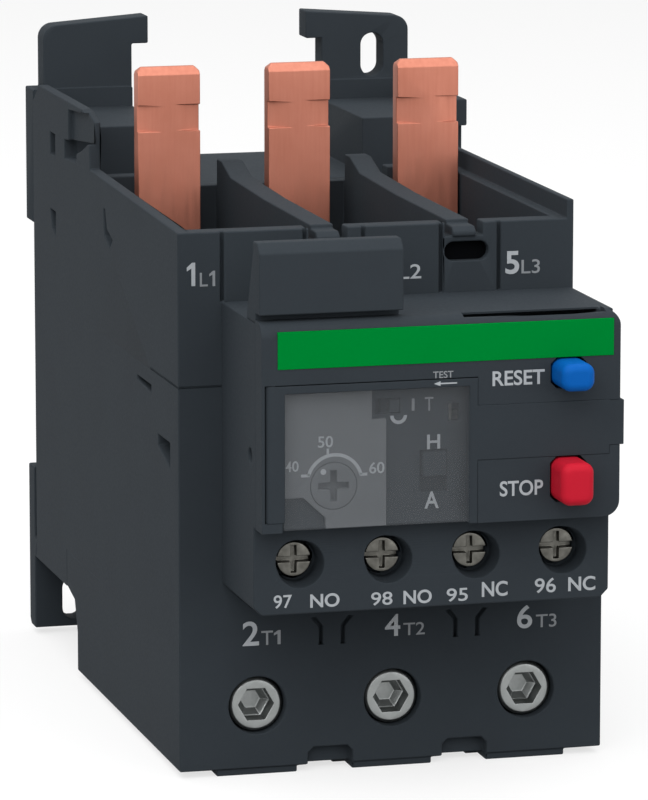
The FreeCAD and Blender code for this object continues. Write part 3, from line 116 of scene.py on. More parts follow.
def pick(obj: bpy.types.Object) -> bpy.types.Object:
    """Select one object alone and make it active.

    Args:
        obj: The object to work on.

    Returns:
        The same object.
    """
    deselect()
    obj.select_set(True)
    bpy.context.view_layer.objects.active = obj
    return obj


def linear(hex_colour: str) -> tuple[float, float, float, float]:
    """Turn an sRGB hex colour into linear RGBA.

    Args:
        hex_colour: Colour written as #RRGGBB.

    Returns:
        Linear red, green, blue and an alpha of one.
    """
    parts = [int(hex_colour[i:i + 2], 16) / 255 for i in (1, 3, 5)]
    red, green, blue = [c / 12.92 if c <= 0.04045 else ((c + 0.055) / 1.055) ** 2.4 for c in parts]
    return red, green, blue, 1.0


def apply_modifiers(obj: bpy.types.Object) -> None:
    """Apply all modifiers of an object in order.

    Args:
        obj: The object to finish.
    """
    pick(obj)
    for modifier in list(obj.modifiers):
        bpy.ops.object.modifier_apply(modifier=modifier.name)


def carry(piece: bpy.types.Object, name: str, body: str, finish: bpy.types.Material,
          replaces: Sequence[str] = ()) -> bpy.types.Object:
    """Name and dress a finished piece, and make it ride on its body.

    Args:
        piece: The finished piece, with its place in its mesh.
        name: The piece's name.
        body: The body that it rides on.
        finish: The material it wears.
        replaces: The CAD nodes that it stands for.

    Returns:
        The same piece.
    """
    piece.name = name
    piece.data.materials.clear()
    piece.data.materials.append(finish)
    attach(piece, body)
    if replaces:
        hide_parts(*replaces)
    log.info("%s: %d faces on %s", name, len(piece.data.polygons), body)
    return piece


def dress(node: str, finish: bpy.types.Material) -> None:
    """Give a CAD node a material.

    Args:
        node: The node's name.
        finish: The material it wears.
    """
    mesh = NODES[node].data
    mesh.materials.clear()
    mesh.materials.append(finish)
    DRESSED.add(node)
    log.info("%s: dressed", node)


class Seam(Enum):
    """Planes where two mouldings meet flush, as an axis and a place on the millimetre grid."""

    BLOCK_TOP = (2, 15.3)
    HEEL = (2, 10.3)
    UPPER_LOW = (2, 48.6)
    UPPER_BACK = (1, 54.0)
    PLATE = (1, 85.0)

    def holds(self, edge: bmesh.types.BMEdge) -> bool:
        """Tell whether an edge lies in the seam's plane.

        Args:
            edge: The edge to test.

        Returns:
            True if both its ends are in the plane.
        """
        axis, place = self.value
        level = DATUM.at(place, place, place)[axis]
        return all(abs(v.co[axis] - level) < 0.02 * MM for v in edge.verts)


def weigh_edges(mesh: bpy.types.Mesh, angle: float) -> None:
    """Mark the edges that a moulding rounds: sharp ones, away from every seam.

    Args:
        mesh: The mesh to mark.
        angle: Edges sharper than this many degrees count.
    """
    work = bmesh.new()
    work.from_mesh(mesh)
    layer = work.edges.layers.float.new("bevel_weight_edge")
    for edge in work.edges:
        sharp = len(edge.link_faces) == 2 and edge.calc_face_angle(0.0) > math.radians(angle)
        edge[layer] = 1.0 if sharp and not any(seam.holds(edge) for seam in Seam) else 0.0
    work.to_mesh(mesh)
    work.free()


@dataclass(frozen=True)
class Cut:
    """A recess that the solids leave out.

    Fields: corners of its mouth as (x, z), its near and far depth, and the far end's size against the mouth.
    """

    mouth: Outline
    near: float
    far: float
    taper: float = 1.0

    def make(self, piece: bpy.types.Object) -> None:
        """Cut the recess out of a copy.

        Args:
            piece: The copy to cut.
        """
        middle_x = sum(x for x, _ in self.mouth) / len(self.mouth)
        middle_z = sum(z for _, z in self.mouth) / len(self.mouth)
        work = bmesh.new()
        near = [work.verts.new(DATUM.at(x, self.near, z)) for x, z in self.mouth]
        far = [work.verts.new(DATUM.at(middle_x + (x - middle_x) * self.taper, self.far,
                                       middle_z + (z - middle_z) * self.taper)) for x, z in self.mouth]
        work.faces.new(near)
        work.faces.new(far[::-1])
        for i, corner in enumerate(far):
            after = (i + 1) % len(far)
            work.faces.new((near[i], corner, far[after], near[after]))
        bmesh.ops.recalc_face_normals(work, faces=work.faces)
        mesh = bpy.data.meshes.new("cutter")
        work.to_mesh(mesh)
        work.free()
        cutter = bpy.data.objects.new("cutter", mesh)
        bpy.context.scene.collection.objects.link(cutter)
        slice_off = piece.modifiers.new("recess", "BOOLEAN")
        slice_off.operation = "DIFFERENCE"
        slice_off.solver = "EXACT"
        slice_off.object = cutter
        apply_modifiers(piece)
        bpy.data.objects.remove(cutter)


def ring(x: float, z: float, radius: float, corners: int) -> Outline:
    """Place corners evenly round a circle.

    Args:
        x: The circle's middle, across.
        z: The circle's middle, up.
        radius: The circle's radius.
        corners: How many corners.

    Returns:
        The corners as (x, z), the first one at the right.
    """
    turns = [2 * math.pi * i / corners for i in range(corners)]
    return tuple((x + radius * math.cos(t), z + radius * math.sin(t)) for t in turns)


def rounded_copy(node: str, radius: float, cuts: Sequence[Cut] = (), swell_mm: float = 0.0) -> bpy.types.Object:
    """Copy a CAD node, cut its finer recesses, and round its edges as moulding or stamping leaves them.

    Args:
        node: The node to copy.
        radius: Width of the rounding, in millimetres.
        cuts: Recesses to cut before the rounding.
        swell_mm: How far the faces move outwards, to narrow the gap round the piece.

    Returns:
        The rounded copy.
    """
    source = NODES[node]
    copy = bpy.data.objects.new(node + "_form", source.data.copy())
    bpy.context.scene.collection.objects.link(copy)
    pick(copy)
    bpy.ops.object.mode_set(mode="EDIT")
    bpy.ops.mesh.select_all(action="SELECT")
    bpy.ops.mesh.remove_doubles(threshold=WELD)
    bpy.ops.object.mode_set(mode="OBJECT")
    for recess in cuts:
        recess.make(copy)
    weigh_edges(copy.data, EDGE_ANGLE)
    bevel = copy.modifiers.new("round", "BEVEL")
    bevel.width = radius * MM
    bevel.segments = 2
    bevel.limit_method = "WEIGHT"
    bevel.use_clamp_overlap = False
    bevel.loop_slide = False
    if swell_mm:
        swell = copy.modifiers.new("snug", "DISPLACE")
        swell.mid_level = 0.0
        swell.strength = swell_mm * MM
    apply_modifiers(copy)
    pick(copy)
    bpy.ops.object.shade_smooth_by_angle(angle=math.radians(SMOOTH_ANGLE))
    weigh = copy.modifiers.new("weigh", "WEIGHTED_NORMAL")
    weigh.keep_sharp = True
    weigh.weight = 90
    apply_modifiers(copy)
    return copy


# ---------------------------------------------------------------- materials

def add_node(tree: bpy.types.NodeTree, kind: str, settings: dict, links: dict) -> bpy.types.Node:
    """Add a node with its settings and links.

    Args:
        tree: The node tree.
        kind: The node's type name.
        settings: Attribute or input names to plain values.
        links: Input names to the sockets that feed them.

    Returns:
        The new node.
    """
    node = tree.nodes.new(kind)
    for key, value in settings.items():
        if isinstance(key, str) and hasattr(node, key):
            setattr(node, key, value)
        else:
            node.inputs[key].default_value = value
    for key, socket in links.items():
        tree.links.new(socket, node.inputs[key])
    return node


def start(name: str) -> tuple[bpy.types.Material, bpy.types.NodeTree, bpy.types.Node, bpy.types.NodeSocket]:
    """Start a material with its shader and its object coordinates.

    Args:
        name: The material's name.

    Returns:
        The material, its tree, its Principled shader, and the Object coordinate socket.
    """
    material = bpy.data.materials.new(name)
    material.use_nodes = True
    tree = material.node_tree
    tree.nodes.clear()
    shader = add_node(tree, "ShaderNodeBsdfPrincipled", {}, {})
    add_node(tree, "ShaderNodeOutputMaterial", {}, {"Surface": shader.outputs["BSDF"]})
    place = add_node(tree, "ShaderNodeTexCoord", {}, {})
    return material, tree, shader, place.outputs["Object"]


@dataclass(frozen=True)
class MouldedPlastic:
    """Plastic from a spark-eroded mould: even, slightly cloudy, with a fine tooth."""

    # The real tooth is about 0.1 mm, too fine to show, so it is drawn as coarse as it needs to be seen.

    name: str
    shade: str
    cloud: str
    roughness: float = 0.5
    tooth_mm: float = 0.45
    tooth_depth_mm: float = 0.012
    cloud_mm: float = 9.0
    gloss: float = 0.1

    def make(self) -> bpy.types.Material:
        """Build the material.

        Returns:
            The finished material.
        """
        material, tree, shader, place = start(self.name)
        clouds = add_node(tree, "ShaderNodeTexNoise",
                          {"Scale": 1 / (self.cloud_mm * MM), "Detail": 3.0, "Roughness": 0.6}, {"Vector": place})
        tooth = add_node(tree, "ShaderNodeTexNoise",
                         {"Scale": 1 / (self.tooth_mm * MM), "Detail": 2.0, "Roughness": 0.7}, {"Vector": place})
        ramp = add_node(tree, "ShaderNodeMix", {"data_type": "RGBA", 6: linear(self.shade), 7: linear(self.cloud)},
                        {0: clouds.outputs["Fac"]})
        tree.links.new(ramp.outputs[2], shader.inputs["Base Color"])
        rough = add_node(tree, "ShaderNodeMapRange",
                         {"From Min": 0.3, "From Max": 0.7, "To Min": self.roughness - 0.05,
                          "To Max": self.roughness + 0.06}, {"Value": tooth.outputs["Fac"]})
        tree.links.new(rough.outputs["Result"], shader.inputs["Roughness"])
        bump = add_node(tree, "ShaderNodeBump", {"Strength": 0.5, "Distance": self.tooth_depth_mm * MM},
                        {"Height": tooth.outputs["Fac"]})
        tree.links.new(bump.outputs["Normal"], shader.inputs["Normal"])
        shader.inputs["IOR"].default_value = 1.5
        shader.inputs["Specular IOR Level"].default_value = self.gloss
        return material


@dataclass(frozen=True)
class RolledMetal:
    """Sheet or bar metal with the fine lines of rolling or turning, and a cloudy film on top."""

    # The real lines are a tenth of a millimetre apart or less, so they are drawn coarser than they are.

    name: str
    bright: str
    dull: str
    roughness: float
    line_mm: tuple[float, float, float]
    line_depth_mm: float = 0.006
    film_mm: float = 4.0

    def make(self) -> bpy.types.Material:
        """Build the material.

        Returns:
            The finished material.
        """
        material, tree, shader, place = start(self.name)
        stretch = add_node(tree, "ShaderNodeMapping", {"Scale": tuple(1 / (v * MM) for v in self.line_mm)},
                           {"Vector": place})
        lines = add_node(tree, "ShaderNodeTexNoise", {"Scale": 1.0, "Detail": 3.0, "Roughness": 0.6},
                         {"Vector": stretch.outputs["Vector"]})
        film = add_node(tree, "ShaderNodeTexNoise", {"Scale": 1 / (self.film_mm * MM), "Detail": 4.0},
                        {"Vector": place})
        tint = add_node(tree, "ShaderNodeMix", {"data_type": "RGBA", 6: linear(self.bright), 7: linear(self.dull)},
                        {0: film.outputs["Fac"]})
        tree.links.new(tint.outputs[2], shader.inputs["Base Color"])
        rough = add_node(tree, "ShaderNodeMapRange",
                         {"From Min": 0.3, "From Max": 0.7, "To Min": self.roughness - 0.07,
                          "To Max": self.roughness + 0.08}, {"Value": lines.outputs["Fac"]})
        tree.links.new(rough.outputs["Result"], shader.inputs["Roughness"])
        bump = add_node(tree, "ShaderNodeBump", {"Strength": 0.4, "Distance": self.line_depth_mm * MM},
                        {"Height": lines.outputs["Fac"]})
        tree.links.new(bump.outputs["Normal"], shader.inputs["Normal"])
        shader.inputs["Metallic"].default_value = 1.0
        return material


@dataclass(frozen=True)
class SmokedPane:
    """Clear polycarbonate with a light smoke tint, moulded with a slight flow in its face."""

    name: str
    tint: str
    cover: float = 0.17
    roughness: float = 0.22

    def make(self) -> bpy.types.Material:
        """Build the material.

        Returns:
            The finished material.
        """
        material, tree, shader, place = start(self.name)
        flow = add_node(tree, "ShaderNodeTexNoise", {"Scale": 1 / (6 * MM), "Detail": 1.0}, {"Vector": place})
        bump = add_node(tree, "ShaderNodeBump", {"Strength": 0.15, "Distance": 0.01 * MM},
                        {"Height": flow.outputs["Fac"]})
        haze = add_node(tree, "ShaderNodeMapRange", {"To Min": self.cover - 0.02, "To Max": self.cover + 0.02},
                        {"Value": flow.outputs["Fac"]})
        tree.links.new(bump.outputs["Normal"], shader.inputs["Normal"])
        tree.links.new(haze.outputs["Result"], shader.inputs["Alpha"])
        shader.inputs["Base Color"].default_value = linear(self.tint)
        shader.inputs["Roughness"].default_value = self.roughness
        shader.inputs["Specular IOR Level"].default_value = 0.2
        return material


@dataclass(frozen=True)
class Ink:
    """Pad-printed ink: a thin opaque film, slightly thin in places over the tooth of the plastic."""

    name: str
    shade: str
    thin: str
    roughness: float = 0.55

    def make(self) -> bpy.types.Material:
        """Build the material.

        Returns:
            The finished material.
        """
        material, tree, shader, place = start(self.name)
        patches = add_node(tree, "ShaderNodeTexNoise", {"Scale": 1 / (0.5 * MM), "Detail": 2.0}, {"Vector": place})
        tint = add_node(tree, "ShaderNodeMix", {"data_type": "RGBA", 6: linear(self.shade), 7: linear(self.thin)},
                        {0: patches.outputs["Fac"]})
        tree.links.new(tint.outputs[2], shader.inputs["Base Color"])
        shader.inputs["Roughness"].default_value = self.roughness
        return material


class Finishes:
    """Every material of the relay."""

    def __init__(self) -> None:
        """Build the materials once."""
        # Glass-filled polyamide, moulded: dark blue-grey, matt, with hardly a highlight.
        self.housing = MouldedPlastic("housing_polyamide", "#2B3035", "#2F353A", 0.8).make()
        # The same plastic from a finer mould: a shade darker and a touch smoother.
        self.module = MouldedPlastic("module_polyamide", "#2A2F34", "#2E3439", 0.75).make()
        # Painted or printed plastic sheet: mid grey and flat.
        self.scale = MouldedPlastic("scale_plate_print", "#626568", "#676A6E", 0.7, 0.6, 0.004).make()
        # White acetal: bright, so that a small flag is seen through its window.
        self.signal = MouldedPlastic("signal_flag_acetal", "#E6E6E0", "#EEEEE8", 0.5).make()
        # Natural glass-filled polyester: pale and slightly yellow, for pieces that stay hidden.
        self.inner = MouldedPlastic("mechanism_polyester", "#B8B9B4", "#C6C6C0", 0.5).make()
        # Painted shade: a near-black colour that stands for the dark depth of a channel, where almost no light comes
        # back; it is no real black plastic.
        self.painted_shade = MouldedPlastic("painted_shade_channel_wall", "#08090B", "#0A0B0D", 0.9, gloss=0.0).make()
        # Green film with a matt face: one even colour and no highlight.
        self.green = MouldedPlastic("green_strip", "#00762C", "#007A30", 0.8, 0.5, 0.003, gloss=0.0).make()
        # ABS from a polished mould, coloured through: clear colour and a soft highlight.
        self.blue = MouldedPlastic("blue_button_abs", "#04529E", "#0656A6", 0.5, 0.5, 0.004, gloss=0.06).make()
        self.red = MouldedPlastic("red_button_abs", "#B0182A", "#BA1D30", 0.5, 0.5, 0.004, gloss=0.06).make()
        # Bare copper bar, stamped and coined: warm pink, dull, with lines along its length.
        self.copper = RolledMetal("stamped_copper", "#B87A68", "#AB6D5A", 0.55, (0.6, 0.6, 9.0), 0.003).make()
        # Zinc-plated steel, turned: light neutral grey with a soft broad shine.
        self.zinc = RolledMetal("zinc_plated_steel", "#8F9291", "#7A7D7D", 0.42, (0.3, 3.0, 0.3)).make()
        # Plated steel gone dull: blotched dark and bright in spots of less than a millimetre.
        self.dull = RolledMetal("dull_plated_steel", "#6F6E69", "#3A3935", 0.36, (0.3, 3.0, 0.3), film_mm=0.8).make()
        # Brass strip, stamped: yellow, with lines along its length.
        self.brass = RolledMetal("stamped_brass", "#C2A35A", "#AD8C48", 0.35, (0.3, 0.3, 4.0)).make()
        # Silver rivet faces: near white and fairly bright.
        self.silver = RolledMetal("silver_contacts", "#D5D4CE", "#BFBEB7", 0.3, (0.3, 0.3, 0.3)).make()
        # Rolled bimetal: plain steel grey with lines along the strip.
        self.strip = RolledMetal("bimetal_strip", "#A8A49C", "#8F8A82", 0.4, (0.3, 0.3, 5.0)).make()
        # Nickel-chrome heater wire: brownish grey, with fine rings along the winding.
        self.wire = RolledMetal("resistance_wire", "#8F877E", "#756D65", 0.45, (3.0, 3.0, 0.3)).make()
        # Smoked polycarbonate: what lies behind it shows through, greyer and with less contrast.
        self.pane = SmokedPane("smoked_polycarbonate", "#6C7074").make()
        # Pad-printed pale grey ink, and the same ink printed thinner.
        self.ink = Ink("pale_ink", "#A2A6AA", "#93989D").make()
        self.faint = Ink("worn_ink", "#7E8286", "#73777B").make()


# ---------------------------------------------------------------- sub-assemblies

def family(stem: str) -> list[str]:
    """List the CAD nodes that share a stem, such as power_screw_1 to power_screw_3.

    Args:
        stem: The nodes' name without its number.

    Returns:
        The nodes' names, in the record's order.
    """
    return [node for node in NODES if node.rstrip("0123456789_") == stem]


def skin(node: str, finish: bpy.types.Material, rounding: float, cuts: Sequence[Cut] = (),
         swell_mm: float = 0.0) -> None:
    """Dress a CAD node and stand a rounded copy in for it.

    Args:
        node: The node's name.
        finish: The material that both wear.
        rounding: Width of the rounded edges, in millimetres.
        cuts: Recesses that only the copy has.
        swell_mm: How far the copy's faces stand out.
    """
    dress(node, finish)
    form = rounded_copy(node, rounding, cuts, swell_mm)
    carry(form, node + "_skin", BODY_OF[node], finish, (node,))


def wear(stems: dict[str, bpy.types.Material]) -> None:
    """Dress the pieces that need no rounded copy.

    Args:
        stems: The material of each family of nodes.
    """
    for stem, finish in stems.items():
        for node in family(stem):
            dress(node, finish)


@dataclass(frozen=True)
class PaintedShadeWall:
    """Near-black back wall of a small oval opening: painted shade that stands for the dark depth there, not a known
    piece.

    Fields: middle as (x, z), half the opening's width, its end radius, and the wall's near and far depth.
    """

    centre: tuple[float, float]
    half: float = 2.85
    radius: float = 1.2
    near: float = 1.1
    far: float = 1.5

    def make(self) -> bpy.types.Object:
        """Shape the wall from a cylinder that is pulled out to an oval.

        Returns:
            The wall, at its place.
        """
        deselect()
        bpy.ops.mesh.primitive_cylinder_add(vertices=48, radius=self.radius, depth=self.far - self.near)
        wall = bpy.context.object
        for vertex in wall.data.vertices:
            x, z, y = vertex.co
            pull = math.copysign(self.half - self.radius, x)
            vertex.co = DATUM.at(self.centre[0] + x + pull, (self.near + self.far) / 2 - y, self.centre[1] + z)
        return wall


@dataclass
class Housing:
    """Terminal block, main and upper housing, mounting plate and marker holder."""

    finishes: Finishes
    rounding: float = 0.2
    pilot_shift: float = 0.7
    pilot_level: float = 64.4

    def build(self) -> None:
        """Build the mouldings, and the near-black walls of painted shade in the oval openings."""
        for node in ("terminal_block", "main_housing", "upper_housing", "mounting_plate", "marker_holder"):
            skin(node, self.finishes.housing, self.rounding)
        # Near-black walls in the two oval openings: painted shade that stands for their dark depth.
        for k in POLES[:2]:
            wall = PaintedShadeWall((pole_x(k) + POLE_PITCH / 2 + self.pilot_shift, self.pilot_level)).make()
            carry(wall, f"pilot_shade_wall_{k}", BODY_OF["upper_housing"], self.finishes.painted_shade)


@dataclass
class PowerTerminals:
    """Copper blades and bars, hexagon-socket screws and their cage clamps."""

    finishes: Finishes
    blade_rounding: float = 0.12
    head_rounding: float = 0.1
    socket_level: float = 8.0
    socket_radius: float = 2.309
    socket_floor: tuple[float, float] = (3.0, 3.9)
    socket_taper: float = 0.55

    def socket(self, pole: int) -> Cut:
        """Return the tapered floor of one screw's hexagon socket."""
        return Cut(ring(pole_x(pole), self.socket_level, self.socket_radius, 6), *self.socket_floor,
                   self.socket_taper)

    def build(self) -> None:
        """Build the power path's pieces."""
        for node in family("input_blade"):
            skin(node, self.finishes.copper, self.blade_rounding)
        for pole in POLES:
            skin(f"power_screw_{pole}", self.finishes.zinc, self.head_rounding, (self.socket(pole),))
        wear({"output_bar": self.finishes.copper, "power_clamp": self.finishes.zinc})


@dataclass
class ControlModule:
    """Module shell with its terminal row, fascia, label strip and buttons."""

    finishes: Finishes
    shell_rounding: float = 0.2
    fascia_rounding: float = 0.04
    button_rounding: float = 0.05
    head_rounding: float = 0.1
    well_first: float = -16.1
    well_level: float = 29.2
    well_radius: float = 3.0
    well_run: tuple[float, float] = (-16.5, -12.7)
    well_taper: float = 0.86
    slit: tuple[float, float] = (3.5, 21.5)
    slit_inset: float = 0.1
    slit_heights: tuple[float, float] = (57.9, 59.14)
    slit_run: tuple[float, float] = (-17.3, -11.0)
    dip: Outline = ((3.5, 59.25), (9.0, 59.2), (14.0, 58.98), (19.0, 59.12), (21.5, 59.25))
    dip_run: tuple[float, float] = (-19.4, -16.5)
    lip_low: float = 57.6
    lip_run: tuple[float, float] = (-18.6, -16.5)
    above: float = 61.0

    def shell_cuts(self) -> tuple[Cut, ...]:
        """Shape the recesses of the module's shell.

        Returns:
            The undercut behind the slit, and the flared wells round the control screws.
        """
        left, right = self.slit[0] + self.slit_inset, self.slit[1] - self.slit_inset
        low, high = self.slit_heights
        undercut = Cut(((left, low), (right, low), (right, high), (left, high)), *self.slit_run)
        wells = (Cut(ring(self.well_first + CONTROL_PITCH * k, self.well_level, self.well_radius, 48),
                     *self.well_run, self.well_taper) for k in range(len(CONTROLS)))
        return (undercut, *wells)

    def fascia_cuts(self) -> tuple[Cut, ...]:
        """Shape the recesses of the fascia's top edge.

        Returns:
            The wave in the edge, and the slit's front half behind it.
        """
        left, right = self.slit
        wave = Cut(((left, self.above), *self.dip, (right, self.above)), *self.dip_run)
        lip = Cut(((left, self.lip_low), (right, self.lip_low), (right, self.above), (left, self.above)),
                  *self.lip_run)
        return wave, lip

    def build(self) -> None:
        """Build the module's outside and its terminals."""
        skin("control_housing", self.finishes.module, self.shell_rounding, self.shell_cuts())
        skin("front_fascia", self.finishes.module, self.fascia_rounding, self.fascia_cuts())
        skin("label_strip", self.finishes.green, self.button_rounding)
        skin("reset_button", self.finishes.blue, self.button_rounding)
        skin("stop_button", self.finishes.red, self.button_rounding)
        for node in family("control_screw"):
            skin(node, self.finishes.dull, self.head_rounding)
        wear({"control_clamp": self.finishes.zinc, "control_terminals": self.finishes.brass})


@dataclass
class SettingPanel:
    """Hinged cover with its pane, and the scale plate, dial, selector and test slider under it."""

    finishes: Finishes
    cover_rounding: float = 0.02
    cover_swell: float = 0.08
    plate_rounding: float = 0.06
    knob_rounding: float = 0.12
    slider_rounding: float = 0.1

    def build(self) -> None:
        """Build the cover and what it covers."""
        skin("cover_frame", self.finishes.module, self.cover_rounding, swell_mm=self.cover_swell)
        skin("scale_plate", self.finishes.scale, self.plate_rounding)
        skin("setting_dial", self.finishes.scale, self.knob_rounding)
        skin("mode_selector", self.finishes.module, self.knob_rounding)
        skin("test_slider", self.finishes.module, self.slider_rounding)
        wear({"cover_pane": self.finishes.pane})


@dataclass
class Mechanism:
    """Strips, coils, slides, levers, rocker and contacts inside the closed housing."""

    finishes: Finishes

    def build(self) -> None:
        """Dress the hidden pieces."""
        made = self.finishes
        wear({"bimetal_strip": made.strip, "heater_coil": made.wire, "compensating_lever": made.strip,
              "compensator_pin": made.zinc, "rocker_pin": made.zinc, "contact_bridges": made.silver,
              "fixed_contacts": made.silver, "trip_flag": made.signal, "trip_slide": made.inner,
              "return_slide": made.inner, "differential_lever": made.inner, "trip_rocker": made.inner,
              "contact_carrier": made.inner})


# ---------------------------------------------------------------- lettering

class Face(Enum):
    """Printed faces, by their depth on the millimetre grid. RAIL is the hinged cover's front."""

    BLOCK = 0.0
    ROW = -16.0
    FASCIA = -20.1
    RAIL = -20.18
    PLATE = -18.5
    FLOOR = -17.9


@dataclass(frozen=True)
class Mark:
    """One printed mark: its character, the box that it fills on the millimetre grid, and its face."""

    words: str
    left: float
    right: float
    low: float
    high: float
    face: Face
    stroke: float = 0.012
    faint: bool = False
    turn: float = 0.0


GLYPH_ONE = ((0.46, 0.0), (0.76, 0.0), (0.76, 1.0), (0.52, 1.0), (0.1, 0.8), (0.1, 0.64), (0.46, 0.76))
ARROW = ((0.0, 0.5), (0.28, 1.0), (0.28, 0.64), (1.0, 0.64), (1.0, 0.36), (0.28, 0.36), (0.28, 0.0))


@dataclass
class Printer:
    """Printed numbers, words and lines, as thin raised films."""

    finishes: Finishes
    slot: str = "pale_plastic"
    film: float = 0.04
    stroke: float = 0.42
    scale_centre: tuple[float, float] = (-12.5, 39.65)
    scale_radius: float = 3.4
    dot_centre: tuple[float, float] = (-13.9, 41.0)
    dot_radius: float = 0.36

    def build(self) -> None:
        """Print every mark."""
        for name, mark in MARKS.items():
            self.write(name, mark)
        self.shape("mark_arrow", Mark("<", -0.5, 2.4, 51.2, 51.8, Face.RAIL), ARROW, "cover")
        self.arc("mark_hook", (-4.3, 47.4), 0.85, (180, 360), Face.FLOOR)
        self.dial_scale()

    def lay(self, name: str, outline: Sequence[tuple[float, float]], face: Face, body: str = "housing",
            faint: bool = False) -> None:
        """Make a film from one outline on the millimetre grid.

        Args:
            name: The piece's name.
            outline: Corners as (x, z), counter-clockwise as seen from the front.
            face: The face that it is printed on.
            body: The body that it rides on.
            faint: Whether the print is a worn one.
        """
        work = bmesh.new()
        back = [work.verts.new(DATUM.at(x, face.value, z)) for x, z in outline]
        front = [work.verts.new(DATUM.at(x, face.value - self.film, z)) for x, z in outline]
        work.faces.new(front)
        work.faces.new(list(reversed(back)))
        for i, corner in enumerate(back):
            after = (i + 1) % len(back)
            work.faces.new((front[i], corner, back[after], front[after]))
        bmesh.ops.recalc_face_normals(work, faces=work.faces)
        bmesh.ops.triangulate(work, faces=work.faces)
        mesh = bpy.data.meshes.new(name)
        work.to_mesh(mesh)
        work.free()
        piece = bpy.data.objects.new(name, mesh)
        bpy.context.scene.collection.objects.link(piece)
        carry(piece, name, body, self.finishes.faint if faint else self.finishes.ink)

    def shape(self, name: str, mark: Mark, glyph: Sequence[tuple[float, float]], body: str = "housing") -> None:
        """Stretch a glyph of the unit square over a mark's box.

        Args:
            name: The piece's name.
            mark: The mark whose box it fills.
            glyph: Corners in the unit square.
            body: The body that it rides on.
        """
        width, height = mark.right - mark.left, mark.high - mark.low
        outline = [(mark.left + u * width, mark.low + v * height) for u, v in glyph]
        self.lay(name, outline, mark.face, body, mark.faint)

    def arc(self, name: str, centre: tuple[float, float], radius: float, angles: tuple[float, float],
            face: Face) -> None:
        """Print a stroke along a circle.

        Args:
            name: The piece's name.
            centre: Middle of the circle as (x, z).
            radius: Radius of the stroke's middle.
            angles: First and last angle in degrees, from the right, anticlockwise.
            face: The face that it is printed on.
        """
        turns = [math.radians(angles[0] + (angles[1] - angles[0]) * i / 32) for i in range(33)]
        half = self.stroke / 2
        outline = [(centre[0] + r * math.cos(t), centre[1] + r * math.sin(t))
                   for r, run in ((radius + half, turns), (radius - half, turns[::-1])) for t in run]
        self.lay(name, outline, face)

    def write(self, name: str, mark: Mark) -> None:
        """Make one mark as a mesh that fills its box.

        Args:
            name: The piece's name.
            mark: What to write and where.
        """
        if mark.words == "1":
            self.shape(name, mark, GLYPH_ONE)
            return
        deselect()
        bpy.ops.object.text_add(location=(0, 0, 0))
        text = bpy.context.object
        text.data.body = mark.words
        text.data.extrude = 0.5
        text.data.offset = mark.stroke
        text.data.resolution_u = 6
        bpy.ops.object.convert(target="MESH")
        mesh = text.data
        mesh.transform(Matrix.Rotation(math.radians(mark.turn), 4, "Z"))
        lows = [min(v.co[i] for v in mesh.vertices) for i in range(3)]
        spans = [max(v.co[i] for v in mesh.vertices) - lows[i] for i in range(3)]
        width, height = mark.right - mark.left, mark.high - mark.low
        for vertex in mesh.vertices:
            x = mark.left + (vertex.co.x - lows[0]) / spans[0] * width
            z = mark.low + (vertex.co.y - lows[1]) / spans[1] * height
            y = mark.face.value - (vertex.co.z - lows[2]) / spans[2] * self.film
            vertex.co = DATUM.at(x, y, z)
        pick(text)
        bpy.ops.object.mode_set(mode="EDIT")
        bpy.ops.mesh.select_all(action="SELECT")
        bpy.ops.mesh.remove_doubles(threshold=1e-7)
        bpy.ops.mesh.normals_make_consistent(inside=False)
        bpy.ops.object.mode_set(mode="OBJECT")
        carry(text, name, "housing", self.finishes.faint if mark.faint else self.finishes.ink)

    def dial_scale(self) -> None:
        """Print the dial's arc with its feet and tick, and the pointer's dot on the dial."""
        self.arc("scale_arc", self.scale_centre, self.scale_radius, (14, 163), Face.PLATE)
        self.lay("scale_foot_left", ((-16.7, 40.45), (-15.6, 40.45), (-15.6, 40.8), (-16.7, 40.8)), Face.PLATE)
        self.lay("scale_foot_right", ((-9.35, 40.3), (-8.4, 40.3), (-8.4, 40.65), (-9.35, 40.65)), Face.PLATE)
        self.lay("scale_tick", ((-13.5, 43.15), (-13.2, 43.2), (-13.2, 43.85), (-13.5, 43.85)), Face.PLATE)
        self.lay("dial_pointer", ring(*self.dot_centre, self.dot_radius, 16), Face.PLATE, body="dial")


